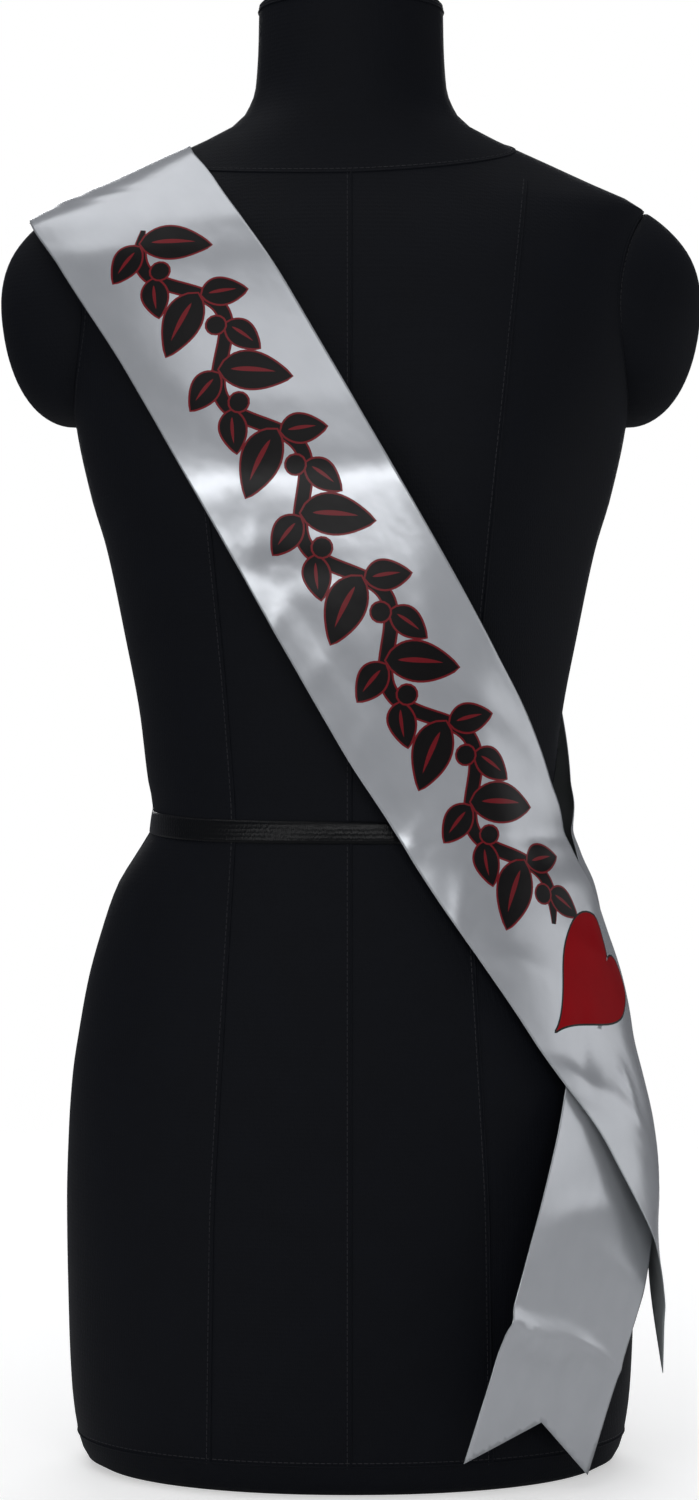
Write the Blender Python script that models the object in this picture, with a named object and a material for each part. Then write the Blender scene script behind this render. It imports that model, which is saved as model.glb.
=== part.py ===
"""Satin ribbon sash draped over a limbless dress form.

The form is a loft of rounded sections from hip to neck with two arm pads. The sash is two straight strips of
ribbon that start back to back on the right shoulder, follow the shortest way over the form, cross on the left
hip and end in swallowtails. Units are metres, +Z is up, and the form faces -Y. The origin is the centre of the
form's flat underside.
"""
import bisect
import math
from collections import namedtuple

import bmesh
import bpy
from mathutils import Vector

# Driving sizes of the ribbon. A layer is the height of a strip's inner face over the surface it lies on.
RIBBON_WIDTH = 0.1016
CLOTH_WALL = 0.001
SEAM_GAP = 0.0003
INNER_LAYER = 0.0006
OUTER_LAYER = 0.0024
LAYER_RISE_START = 0.30
LAYER_RISE_END = 0.50

# Driving sizes of the form
FORM_SIDES = 44
RING_STEP = 0.024
BUST_SPREAD = 0.080
BUST_HEIGHT = 0.562
BUST_RISE = 0.015
BUST_RADIUS = 0.040
BUST_TALLNESS = 1.25
BUST_FADE = 0.04

# The arm pad's seam ring on the form's side, and how far its round face stands out
PAD_CENTRE_Y = 0.004
PAD_CENTRE_Z = 0.6625
PAD_HALF_DEPTH = 0.050
PAD_HALF_HEIGHT = 0.0620
PAD_REACH = 0.0345
PAD_RIM = 0.0020
PAD_ROUNDNESS = 2.4
PAD_FALL = 0.70
PAD_TOP_SLOPE = 0.22
PAD_SIDES = 28
PAD_RINGS = 6
PAD_GAP = 0.0006

# Where each strip is split into its band and its tail, a seam gap apart
FRONT_SPLIT = 0.640
BACK_SPLIT = 0.640

# Fineness of the ribbon's grid and of the walk over the form
BAND_STEP = 0.014
RIDGE_STEP = 0.007
RIDGE_LENGTH = 0.056
RIBBON_COLUMNS = 10
MARCH_STEP = 0.002
EDGE_STEPS = 4

# The walk starts this far behind the shoulder ridge, and below PLUMB_HEIGHT the drape surface falls straight
RIDGE_LEAD = 0.016
PLUMB_HEIGHT = 0.045

Station = namedtuple("Station", "height half_width front back squareness")
Standoff = namedtuple("Standoff", "height side front back squarer")
StripPlan = namedtuple("StripPlan", "side turn length tail prong_depth slant drape sways creases")
Tail = namedtuple("Tail", "release free twist twist_start twist_end hinge")
Sway = namedtuple("Sway", "along shift")
Crease = namedtuple("Crease", "along across length width height turn")

# The form from hip to neck: half its width, its depth before and behind the middle, and the squareness of
# the section, where 2 is an ellipse.
FORM = [
    Station(0.0000, 0.1460, 0.0930, 0.1020, 2.10),
    Station(0.0040, 0.1530, 0.1000, 0.1090, 2.12),
    Station(0.0155, 0.1580, 0.1040, 0.1140, 2.14),
    Station(0.0420, 0.1620, 0.1065, 0.1170, 2.15),
    Station(0.0810, 0.1638, 0.1078, 0.1190, 2.15),
    Station(0.1510, 0.1650, 0.1085, 0.1210, 2.15),
    Station(0.1930, 0.1638, 0.1085, 0.1205, 2.15),
    Station(0.2237, 0.1616, 0.1080, 0.1180, 2.15),
    Station(0.2500, 0.1577, 0.1070, 0.1140, 2.15),
    Station(0.2785, 0.1525, 0.1055, 0.1080, 2.14),
    Station(0.3070, 0.1447, 0.1035, 0.1010, 2.12),
    Station(0.3330, 0.1356, 0.1010, 0.0940, 2.10),
    Station(0.3540, 0.1230, 0.0990, 0.0885, 2.10),
    Station(0.3665, 0.1160, 0.0975, 0.0860, 2.10),
    Station(0.3790, 0.1150, 0.0970, 0.0850, 2.10),
    Station(0.3950, 0.1178, 0.0970, 0.0850, 2.12),
    Station(0.4340, 0.1226, 0.0975, 0.0865, 2.15),
    Station(0.4780, 0.1310, 0.0980, 0.0900, 2.20),
    Station(0.5300, 0.1420, 0.0985, 0.0945, 2.30),
    Station(0.5580, 0.1504, 0.0985, 0.0970, 2.40),
    Station(0.6000, 0.1595, 0.0965, 0.0995, 2.50),
    Station(0.6300, 0.1630, 0.0920, 0.1000, 2.60),
    Station(0.6800, 0.1680, 0.0810, 0.0950, 2.60),
    Station(0.7080, 0.1700, 0.0710, 0.0870, 2.50),
    Station(0.7250, 0.1700, 0.0630, 0.0800, 2.35),
    Station(0.7310, 0.1610, 0.0605, 0.0770, 2.25),
    Station(0.7390, 0.1430, 0.0575, 0.0735, 2.15),
    Station(0.7520, 0.1150, 0.0535, 0.0680, 2.05),
    Station(0.7650, 0.0863, 0.0510, 0.0640, 2.00),
    Station(0.7730, 0.0706, 0.0500, 0.0610, 2.00),
    Station(0.7805, 0.0624, 0.0490, 0.0590, 2.00),
    Station(0.7970, 0.0557, 0.0480, 0.0565, 2.00),
    Station(0.8220, 0.0540, 0.0475, 0.0550, 2.00),
    Station(0.8450, 0.0535, 0.0470, 0.0545, 2.00),
    Station(0.8470, 0.0515, 0.0450, 0.0525, 2.00),
]

# How far the surface on which the ribbon lies stands off the form, and how much squarer its section is. It
# bridges the waist and the hollow between the busts, and runs straight off the shoulder over the arm pad.
DRAPE_ABOVE_HIP = [
    Standoff(0.2500, 0.0022, 0.0045, 0.0040, 0.10),
    Standoff(0.3010, 0.0022, 0.0045, 0.0060, 0.05),
    Standoff(0.3440, 0.0065, 0.0055, 0.0120, 0.00),
    Standoff(0.3660, 0.0115, 0.0070, 0.0140, 0.00),
    Standoff(0.3790, 0.0135, 0.0080, 0.0140, 0.00),
    Standoff(0.3950, 0.0085, 0.0095, 0.0130, 0.00),
    Standoff(0.4340, 0.0045, 0.0130, 0.0120, 0.00),
    Standoff(0.4780, 0.0035, 0.0165, 0.0110, 0.00),
    Standoff(0.5300, 0.0035, 0.0185, 0.0080, 0.00),
    Standoff(0.5600, 0.0050, 0.0190, 0.0060, 0.00),
    Standoff(0.6000, 0.0130, 0.0160, 0.0030, 0.00),
    Standoff(0.6500, 0.0300, 0.0100, 0.0020, 0.00),
    Standoff(0.6900, 0.0330, 0.0050, 0.0015, 0.00),
    Standoff(0.7000, 0.0300, 0.0038, 0.0013, 0.00),
    Standoff(0.7120, 0.0240, 0.0026, 0.0011, 0.00),
    Standoff(0.7190, 0.0148, 0.0018, 0.0010, 0.00),
    Standoff(0.7250, 0.0045, 0.0012, 0.0008, 0.00),
    Standoff(0.7310, 0.0008, 0.0008, 0.0006, 0.00),
    Standoff(0.8500, 0.0006, 0.0006, 0.0006, 0.00),
]

# Below the hip the strip from the back lies next to the form, and the strip from the front passes over it
# and flares out.
UNDER_DRAPE = [
    Standoff(0.0000, 0.0080, 0.0050, 0.0060, 0.10),
    Standoff(0.0900, 0.0080, 0.0050, 0.0060, 0.10),
    Standoff(0.1800, 0.0065, 0.0045, 0.0050, 0.10),
] + DRAPE_ABOVE_HIP
OVER_DRAPE = [
    Standoff(0.0000, 0.0105, 0.0110, 0.0130, 0.30),
    Standoff(0.0900, 0.0110, 0.0110, 0.0120, 0.40),
    Standoff(0.1370, 0.0105, 0.0105, 0.0110, 0.50),
    Standoff(0.1960, 0.0080, 0.0080, 0.0080, 0.40),
] + DRAPE_ABOVE_HIP

# The largest soft folds of each strip: where the middle lies along and across the ribbon, half its length and
# width, its height, and its turn from the ribbon's length in degrees.
FRONT_CREASES = [
    Crease(0.475, -0.012, 0.050, 0.012, 0.0016, 8.0),
    Crease(0.590, -0.022, 0.042, 0.011, 0.0022, -24.0),
    Crease(0.648, -0.006, 0.034, 0.010, 0.0018, 20.0),
    Crease(0.715, 0.012, 0.040, 0.012, 0.0022, 70.0),
]
BACK_CREASES = [
    Crease(0.330, 0.014, 0.055, 0.013, 0.0018, -10.0),
    Crease(0.450, -0.018, 0.045, 0.012, 0.0020, 14.0),
    Crease(0.852, 0.020, 0.028, 0.010, 0.0024, 84.0),
    Crease(0.846, -0.020, 0.026, 0.009, 0.0016, 96.0),
]

# Small sideways bends of each strip in its own plane: the length along it and the shift there. A shift above
# 0 is towards the edge that is lower in front.
FRONT_SWAYS = [
    Sway(0.000, 0.0000),
    Sway(0.045, 0.0048),
    Sway(0.075, 0.0036),
    Sway(0.160, 0.0000),
    Sway(0.400, 0.0000),
    Sway(0.450, -0.0020),
    Sway(0.530, 0.0000),
]
BACK_SWAYS = [
    Sway(0.000, 0.0000),
    Sway(0.660, 0.0000),
    Sway(0.860, 0.0052),
]

# Each strip starts on the shoulder ridge. side is -1 over the chest and 1 over the back, and turn is its
# heading's turn towards the body's middle in degrees. slant is how much shorter the prong at the ribbon's
# rear edge is.
#
# A tail leaves the form from release to free and hangs on straight and flat from there. It turns by twist
# degrees from twist_start to twist_end about one edge: hinge 1 is the edge that is lower in front, -1 the
# other.
SHOULDER_START = Vector((-0.1400, 0.0, 0.7400))
FRONT_TAIL = Tail(0.690, 0.830, 9.0, 0.690, 0.850, -1)
BACK_TAIL = Tail(0.670, 0.780, 10.0, 0.700, 0.800, 1)
FRONT_STRIP = StripPlan(-1, 7.3, 0.817, BACK_TAIL, 0.046, 0.010, OVER_DRAPE, FRONT_SWAYS, FRONT_CREASES)
BACK_STRIP = StripPlan(1, 11.9, 0.929, FRONT_TAIL, 0.0265, 0.018, UNDER_DRAPE, BACK_SWAYS, BACK_CREASES)


def smooth_column(rows, name):
    """Return a function that reads one named column of a table at any height, without overshoot."""
    heights = [row.height for row in rows]
    values = [getattr(row, name) for row in rows]
    rises = [
        (values[i + 1] - values[i]) / (heights[i + 1] - heights[i]) for i in range(len(rows) - 1)
    ]
    slopes = [0.0] * len(rows)
    for i in range(1, len(rows) - 1):
        if rises[i - 1] * rises[i] > 0.0:
            slopes[i] = 2.0 * rises[i - 1] * rises[i] / (rises[i - 1] + rises[i])

    def read(height):
        if height <= heights[0]:
            return values[0]
        if height >= heights[-1]:
            return values[-1]
        i = bisect.bisect_right(heights, height) - 1
        span = heights[i + 1] - heights[i]
        t = (height - heights[i]) / span
        return (
            values[i] * (1 + 2 * t) * (1 - t) ** 2
            + slopes[i] * span * t * (1 - t) ** 2
            + values[i + 1] * t * t * (3 - 2 * t)
            + slopes[i + 1] * span * t * t * (t - 1)
        )

    return read


form_half_width = smooth_column(FORM, "half_width")
form_front = smooth_column(FORM, "front")
form_back = smooth_column(FORM, "back")
form_squareness = smooth_column(FORM, "squareness")


def section_point(angle, half_width, front, back, squareness):
    """Point on a rounded section. Angle 0 is the form's left side (+X) and -90 degrees is its front."""
    x = math.cos(angle)
    y = math.sin(angle)
    power = 2.0 / squareness
    depth = back if y > 0.0 else front
    return (
        math.copysign(abs(x) ** power, x) * half_width,
        math.copysign(abs(y) ** power, y) * depth,
    )


def bust_rise(x, height):
    """Forward rise of the two soft bust rounds."""
    across = (abs(x) - BUST_SPREAD) / BUST_RADIUS
    up = (height - BUST_HEIGHT) / (BUST_RADIUS * BUST_TALLNESS)
    return BUST_RISE * math.exp(-0.5 * (across * across + up * up))


def form_point(angle, height):
    """Point on the form's surface at an angle round it and a height."""
    x, y = section_point(
        angle,
        form_half_width(height),
        form_front(height),
        form_back(height),
        form_squareness(height),
    )
    if y < 0.0:
        y -= bust_rise(x, height) * min(1.0, -y / BUST_FADE)
    return Vector((x, y, height))


class Drape:
    """The surface on which one strip of ribbon lies, and walks over it."""

    def __init__(self, rows):
        self.side = smooth_column(rows, "side")
        self.front = smooth_column(rows, "front")
        self.back = smooth_column(rows, "back")
        self.squarer = smooth_column(rows, "squarer")

    def level(self, x, y, height):
        """0 on the surface, below 0 inside it and above 0 outside. Near the floor it falls straight."""
        height = max(height, PLUMB_HEIGHT)
        half_width = form_half_width(height) + self.side(height)
        if y > 0.0:
            depth = form_back(height) + self.back(height)
        else:
            depth = form_front(height) + self.front(height)
        power = form_squareness(height) + self.squarer(height)
        return ((abs(x) / half_width) ** power + (abs(y) / depth) ** power) ** (1.0 / power) - 1.0

    def gradient(self, point):
        """Gradient of the level, by central differences."""
        x, y, z = point
        d = 0.0002
        slopes = (
            self.level(x + d, y, z) - self.level(x - d, y, z),
            self.level(x, y + d, z) - self.level(x, y - d, z),
            self.level(x, y, z + d) - self.level(x, y, z - d),
        )
        return Vector(slopes) / (2 * d)

    def settle(self, point):
        """Bring a point onto the surface and return it with the outward normal there."""
        for _ in range(4):
            gradient = self.gradient(point)
            point = point - gradient * (self.level(*point) / gradient.length_squared)
        return point, self.gradient(point).normalized()

    def march(self, point, heading, distance, steps):
        """Follow the shortest way over the surface. Gives point, heading and normal at every step."""
        point, normal = self.settle(point)
        heading = (heading - normal * heading.dot(normal)).normalized()
        trail = [(point, heading, normal)]
        for _ in range(steps):
            ahead, normal = self.settle(point + heading * (distance / steps))
            heading = ahead - point
            heading = (heading - normal * heading.dot(normal)).normalized()
            point = ahead
            trail.append((point, heading, normal))
        return trail


class Strip:
    """One straight length of ribbon from the shoulder ridge to its swallowtail."""

    def __init__(self, plan):
        self.plan = plan
        self.drape = Drape(plan.drape)
        turn = math.radians(plan.turn)
        ridge, normal = self.drape.settle(SHOULDER_START)
        along_ridge = (Vector((1, 0, 0)) - normal * normal.x).normalized()
        heading = Vector((0, plan.side, 0)) * math.cos(turn) + along_ridge * math.sin(turn)
        self.trail = self.walk(ridge, heading.normalized(), normal)

    def looseness(self, along):
        """0 where the ribbon lies on the form and 1 where its tail hangs straight and flat."""
        return ease(along, self.plan.tail.release, self.plan.tail.free)

    def sway(self, along):
        """Sideways shift of the middle line."""
        sways = self.plan.sways
        return sum(
            (after.shift - before.shift) * ease(along, before.along, after.along)
            for before, after in zip(sways, sways[1:])
        )

    def walk(self, point, heading, normal):
        """Middle line: the shortest way over the drape, and straight on where the tail has let go.

        It starts a little behind the shoulder ridge, because the ribbon is cut at a slant there."""
        lead = self.drape.march(point, -heading, RIDGE_LEAD, round(RIDGE_LEAD / MARCH_STEP))
        trail = [(before, -turned, up) for before, turned, up in reversed(lead)]
        for i in range(round(self.plan.length / MARCH_STEP)):
            loose = self.looseness(i * MARCH_STEP)
            free = point + heading * MARCH_STEP
            held, held_normal = self.drape.settle(free)
            ahead = held.lerp(free, loose)
            normal = held_normal.lerp(normal, loose).normalized()
            heading = ahead - point
            heading = (heading - normal * heading.dot(normal)).normalized()
            point = ahead
            trail.append((point, heading, normal))
        return self.swayed(trail)

    def swayed(self, trail):
        """The middle line with its small sideways bends."""
        line = []
        for i, (point, heading, normal) in enumerate(trail):
            along = i * MARCH_STEP - RIDGE_LEAD
            loose = self.looseness(along)
            free = point + heading.cross(normal) * self.sway(along)
            held, held_normal = self.drape.settle(free)
            line.append((held.lerp(free, loose), held_normal.lerp(normal, loose).normalized()))
        swayed = []
        for i, (point, normal) in enumerate(line):
            heading = line[min(i + 1, len(line) - 1)][0] - line[max(i - 1, 0)][0]
            heading = (heading - normal * heading.dot(normal)).normalized()
            swayed.append((point, heading, normal))
        return swayed

    def point(self, along, across):
        """Point and normal of the drape under the ribbon at a length along it and a distance across it."""
        place = (along + RIDGE_LEAD) / MARCH_STEP
        index = min(int(place), len(self.trail) - 2)
        part = place - index
        middle, heading, normal = (
            a.lerp(b, part) for a, b in zip(self.trail[index], self.trail[index + 1])
        )
        aside = heading.cross(normal).normalized()
        flat = middle + aside * across
        loose = self.looseness(along)
        if loose == 1.0 or abs(across) < 1e-6:
            place, lying = flat, normal
        else:
            way = aside * math.copysign(1.0, across)
            edge, _, edge_normal = self.drape.march(middle, way, abs(across), EDGE_STEPS)[-1]
            place = edge.lerp(flat, loose)
            lying = edge_normal.lerp(normal, loose).normalized()
        tail = self.plan.tail
        turn = math.radians(tail.twist) * ease(along, tail.twist_start, tail.twist_end)
        turned = aside * math.cos(turn) + normal * math.sin(turn)
        up = normal * math.cos(turn) - aside * math.sin(turn)
        place = place + (turned - aside) * (across - tail.hinge * RIBBON_WIDTH / 2)
        return place, (lying + up - normal).normalized()

    def lift(self, along, across):
        """Height of the inner face over the drape. The front strip rises to pass over the other."""
        height = INNER_LAYER
        if self.plan.drape is OVER_DRAPE:
            height += (OUTER_LAYER - INNER_LAYER) * ease(along, LAYER_RISE_START, LAYER_RISE_END)
        for crease in self.plan.creases:
            turn = math.radians(crease.turn)
            x = along - crease.along
            y = across - crease.across
            lengthwise = (x * math.cos(turn) + y * math.sin(turn)) / crease.length
            crosswise = (y * math.cos(turn) - x * math.sin(turn)) / crease.width
            height += crease.height * math.exp(-lengthwise ** 2 - crosswise ** 2)
        return height

    def reach(self, across):
        """Length along the strip at which the swallowtail is cut, for a distance across it."""
        share = across / (RIBBON_WIDTH / 2)
        return self.plan.length - self.plan.slant * (1 - share) / 2 - self.plan.prong_depth * (1 - abs(share))

    def crown(self, across):
        """Length along the strip at which it is cut on the shoulder ridge, half a seam gap off the middle."""
        turn = math.radians(self.plan.turn)
        along = self.plan.side * across * math.tan(turn)
        for _ in range(8):
            offset = self.point(along, across)[0].y * self.plan.side - SEAM_GAP / 2
            along -= offset / math.cos(turn)
        return along

    def stretch(self, name, start, end, finish):
        """The ribbon from start to end as a closed wall, from the shoulder cut or to the swallowtail."""
        rows = strip_rows(start, end)
        mesh = bmesh.new()
        inner = []
        outer = []
        for along in rows:
            inner_row = []
            outer_row = []
            for column in range(RIBBON_COLUMNS + 1):
                across = RIBBON_WIDTH * (column / RIBBON_COLUMNS - 0.5)
                first = self.crown(across) if start == 0.0 else start
                last = self.reach(across) if end == self.plan.length else end
                length = first + (last - first) * (along - start) / (end - start)
                point, normal = self.point(length, across)
                lift = self.lift(length, across)
                inner_row.append(mesh.verts.new(point + normal * lift))
                outer_row.append(mesh.verts.new(point + normal * (lift + CLOTH_WALL)))
            inner.append(inner_row)
            outer.append(outer_row)
        for i in range(len(rows) - 1):
            for j in range(RIBBON_COLUMNS):
                mesh.faces.new((outer[i][j], outer[i][j + 1], outer[i + 1][j + 1], outer[i + 1][j]))
                mesh.faces.new((inner[i][j], inner[i + 1][j], inner[i + 1][j + 1], inner[i][j + 1]))
            for j in (0, RIBBON_COLUMNS):
                mesh.faces.new((inner[i][j], inner[i + 1][j], outer[i + 1][j], outer[i][j]))
        for i in (0, len(rows) - 1):
            for j in range(RIBBON_COLUMNS):
                mesh.faces.new((inner[i][j], inner[i][j + 1], outer[i][j + 1], outer[i][j]))
        return add_solid(name, mesh, finish)


def ease(value, low, high):
    """0 below low, 1 above high, and a smooth step between."""
    t = min(1.0, max(0.0, (value - low) / (high - low)))
    return t * t * (3 - 2 * t)


def strip_rows(start, end):
    """Lengths of the rows of one stretch, closer together where the ribbon bends over the shoulder."""
    rows = []
    if start < RIDGE_LENGTH:
        count = round(RIDGE_LENGTH / RIDGE_STEP)
        rows = [start + (RIDGE_LENGTH - start) * i / count for i in range(count)]
        start = RIDGE_LENGTH
    count = max(1, round((end - start) / BAND_STEP))
    return rows + [start + (end - start) * i / count for i in range(count + 1)]


def form_torso(finish):
    """The form's body: rings of the table's sections, closed by a flat underside and a flat neck top."""
    heights = []
    for low, high in zip(FORM, FORM[1:]):
        count = max(1, round((high.height - low.height) / RING_STEP))
        heights += [low.height + (high.height - low.height) * i / count for i in range(count)]
    heights.append(FORM[-1].height)
    mesh = bmesh.new()
    rings = []
    for height in heights:
        angles = [2 * math.pi * i / FORM_SIDES for i in range(FORM_SIDES)]
        rings.append([mesh.verts.new(form_point(angle, height)) for angle in angles])
    for lower, upper in zip(rings, rings[1:]):
        for i in range(FORM_SIDES):
            k = (i + 1) % FORM_SIDES
            mesh.faces.new((lower[i], lower[k], upper[k], upper[i]))
    mesh.faces.new(list(reversed(rings[0])))
    mesh.faces.new(rings[-1])
    return add_solid("form_torso", mesh, finish)


def side_of_form(y, height):
    """Half width of the form at a depth and a height."""
    depth = form_back(height) if y > 0.0 else form_front(height)
    power = form_squareness(height)
    return form_half_width(height) * (1 - min(0.99, abs(y) / depth) ** power) ** (1 / power)


def pad_thickness(share, angle):
    """Thickness of the arm pad from its middle (share 0) to its rim (share 1), sloping more at the top."""
    fall = PAD_FALL + PAD_TOP_SLOPE * math.sin(angle)
    return PAD_RIM + PAD_REACH * (1 - share ** PAD_ROUNDNESS) ** fall


def form_arm_pad(name, hand, finish):
    """Stub arm pad: a round-faced cap on the form's side, with its inner face on the form."""
    mesh = bmesh.new()
    inner = []
    outer = []
    for ring in range(1, PAD_RINGS + 1):
        share = math.sin(0.5 * math.pi * ring / PAD_RINGS)
        inner_ring = []
        outer_ring = []
        for i in range(PAD_SIDES):
            angle = 2 * math.pi * i / PAD_SIDES
            y = PAD_CENTRE_Y + PAD_HALF_DEPTH * share * math.cos(angle)
            z = PAD_CENTRE_Z + PAD_HALF_HEIGHT * share * math.sin(angle)
            x = side_of_form(y, z) + PAD_GAP
            inner_ring.append(mesh.verts.new((hand * x, y, z)))
            outer_ring.append(mesh.verts.new((hand * (x + pad_thickness(share, angle)), y, z)))
        inner.append(inner_ring)
        outer.append(outer_ring)
    x = side_of_form(PAD_CENTRE_Y, PAD_CENTRE_Z) + PAD_GAP
    inner_middle = mesh.verts.new((hand * x, PAD_CENTRE_Y, PAD_CENTRE_Z))
    outer_middle = mesh.verts.new((hand * (x + PAD_RIM + PAD_REACH), PAD_CENTRE_Y, PAD_CENTRE_Z))
    for i in range(PAD_SIDES):
        k = (i + 1) % PAD_SIDES
        mesh.faces.new((outer_middle, outer[0][i], outer[0][k]))
        mesh.faces.new((inner_middle, inner[0][k], inner[0][i]))
        for ring in range(PAD_RINGS - 1):
            mesh.faces.new((outer[ring][i], outer[ring + 1][i], outer[ring + 1][k], outer[ring][k]))
            mesh.faces.new((inner[ring][i], inner[ring][k], inner[ring + 1][k], inner[ring + 1][i]))
        mesh.faces.new((outer[-1][i], inner[-1][i], inner[-1][k], outer[-1][k]))
    return add_solid(name, mesh, finish)


def add_solid(name, mesh, finish):
    """Turn a bmesh into a named object with its faces pointing out."""
    bmesh.ops.recalc_face_normals(mesh, faces=mesh.faces)
    data = bpy.data.meshes.new(name)
    mesh.to_mesh(data)
    mesh.free()
    data.shade_smooth()
    data.set_sharp_from_angle(angle=math.radians(50))
    data.materials.append(finish)
    solid = bpy.data.objects.new(name, data)
    bpy.context.scene.collection.objects.link(solid)
    return solid


def finish_material(name, colour, roughness):
    """Plain Principled BSDF for one finish. colour is linear RGB."""
    material = bpy.data.materials.new(name)
    material.use_nodes = True
    shader = material.node_tree.nodes["Principled BSDF"]
    shader.inputs["Base Color"].default_value = (*colour, 1.0)
    shader.inputs["Roughness"].default_value = roughness
    shader.inputs["Metallic"].default_value = 0.0
    return material


def main():
    for old in list(bpy.data.objects):
        bpy.data.objects.remove(old, do_unlink=True)
    satin = finish_material("white satin ribbon", (0.62, 0.63, 0.66), 0.35)
    jersey = finish_material("black jersey", (0.010, 0.010, 0.013), 0.85)

    form_torso(jersey)
    form_arm_pad("form_arm_pad_left", 1, jersey)
    form_arm_pad("form_arm_pad_right", -1, jersey)

    front = Strip(FRONT_STRIP)
    front.stretch("sash_front_band", 0.0, FRONT_SPLIT, satin)
    front.stretch("sash_back_tail", FRONT_SPLIT + SEAM_GAP, FRONT_STRIP.length, satin)
    back = Strip(BACK_STRIP)
    back.stretch("sash_back_band", 0.0, BACK_SPLIT, satin)
    back.stretch("sash_front_tail", BACK_SPLIT + SEAM_GAP, BACK_STRIP.length, satin)


main()
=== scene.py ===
"""Looks of a satin ribbon sash on a black dress form, laid out as a Blender add-on and run as a script."""

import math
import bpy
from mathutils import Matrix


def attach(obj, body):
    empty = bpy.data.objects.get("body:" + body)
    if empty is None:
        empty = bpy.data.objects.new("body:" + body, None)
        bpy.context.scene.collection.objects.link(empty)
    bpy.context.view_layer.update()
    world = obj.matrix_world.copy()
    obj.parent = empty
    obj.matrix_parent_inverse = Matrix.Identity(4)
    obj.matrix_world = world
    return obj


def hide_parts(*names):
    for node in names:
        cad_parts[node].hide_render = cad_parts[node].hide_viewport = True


bl_info = {
    "name": "Ribbon Sash on a Dress Form",
    "version": (1, 0, 0),
    "blender": (4, 5, 0),
    "location": "View3D > Sidebar > Sash",
    "description": "Builds a printed satin sash, the jersey dress form that carries it, and a plain studio",
    "category": "Object",
}

from collections import namedtuple

import bpy
import numpy as np
from bpy.props import FloatProperty, IntProperty, PointerProperty, StringProperty
from mathutils import Matrix, Vector
from mathutils.geometry import delaunay_2d_cdt

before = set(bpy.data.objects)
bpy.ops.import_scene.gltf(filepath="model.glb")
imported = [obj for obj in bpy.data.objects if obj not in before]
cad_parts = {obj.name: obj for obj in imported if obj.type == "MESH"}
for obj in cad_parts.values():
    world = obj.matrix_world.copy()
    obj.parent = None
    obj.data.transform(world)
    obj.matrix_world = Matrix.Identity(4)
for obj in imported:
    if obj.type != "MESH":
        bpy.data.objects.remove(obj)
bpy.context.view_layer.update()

Station = namedtuple("Station", "height half_width front back squareness")
Standoff = namedtuple("Standoff", "height side front back squarer")
StripPlan = namedtuple("StripPlan", "side turn length tail prong_depth slant drape sways creases")
Tail = namedtuple("Tail", "release free twist twist_start twist_end hinge")
Sway = namedtuple("Sway", "along shift")
Crease = namedtuple("Crease", "along across length width height turn")
Finish = namedtuple("Finish", "part name roughness specular metallic dye_spread firm_edge")
Leaf = namedtuple("Leaf", "lag length width turn bend")
Roll = namedtuple("Roll", "angle spread tip")
Light = namedtuple("Light", "name place source share width height tilt")

# The form from hip to neck, as its solid has it: half its width, its depth before and behind the middle, and
# the squareness of the section, where 2 is an ellipse.
FORM = [
    Station(0.0000, 0.1460, 0.0930, 0.1020, 2.10),
    Station(0.0040, 0.1530, 0.1000, 0.1090, 2.12),
    Station(0.0155, 0.1580, 0.1040, 0.1140, 2.14),
    Station(0.0420, 0.1620, 0.1065, 0.1170, 2.15),
    Station(0.0810, 0.1638, 0.1078, 0.1190, 2.15),
    Station(0.1510, 0.1650, 0.1085, 0.1210, 2.15),
    Station(0.1930, 0.1638, 0.1085, 0.1205, 2.15),
    Station(0.2237, 0.1616, 0.1080, 0.1180, 2.15),
    Station(0.2500, 0.1577, 0.1070, 0.1140, 2.15),
    Station(0.2785, 0.1525, 0.1055, 0.1080, 2.14),
    Station(0.3070, 0.1447, 0.1035, 0.1010, 2.12),
    Station(0.3330, 0.1356, 0.1010, 0.0940, 2.10),
    Station(0.3540, 0.1230, 0.0990, 0.0885, 2.10),
    Station(0.3665, 0.1160, 0.0975, 0.0860, 2.10),
    Station(0.3790, 0.1150, 0.0970, 0.0850, 2.10),
    Station(0.3950, 0.1178, 0.0970, 0.0850, 2.12),
    Station(0.4340, 0.1226, 0.0975, 0.0865, 2.15),
    Station(0.4780, 0.1310, 0.0980, 0.0900, 2.20),
    Station(0.5300, 0.1420, 0.0985, 0.0945, 2.30),
    Station(0.5580, 0.1504, 0.0985, 0.0970, 2.40),
    Station(0.6000, 0.1595, 0.0965, 0.0995, 2.50),
    Station(0.6300, 0.1630, 0.0920, 0.1000, 2.60),
    Station(0.6800, 0.1680, 0.0810, 0.0950, 2.60),
    Station(0.7080, 0.1700, 0.0710, 0.0870, 2.50),
    Station(0.7250, 0.1700, 0.0630, 0.0800, 2.35),
    Station(0.7310, 0.1610, 0.0605, 0.0770, 2.25),
    Station(0.7390, 0.1430, 0.0575, 0.0735, 2.15),
    Station(0.7520, 0.1150, 0.0535, 0.0680, 2.05),
    Station(0.7650, 0.0863, 0.0510, 0.0640, 2.00),
    Station(0.7730, 0.0706, 0.0500, 0.0610, 2.00),
    Station(0.7805, 0.0624, 0.0490, 0.0590, 2.00),
    Station(0.7970, 0.0557, 0.0480, 0.0565, 2.00),
    Station(0.8220, 0.0540, 0.0475, 0.0550, 2.00),
    Station(0.8450, 0.0535, 0.0470, 0.0545, 2.00),
    Station(0.8470, 0.0515, 0.0450, 0.0525, 2.00),
]
BUST_SPREAD = 0.080
BUST_HEIGHT = 0.562
BUST_RISE = 0.015
BUST_RADIUS = 0.040
BUST_TALLNESS = 1.25
BUST_FADE = 0.04

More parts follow.
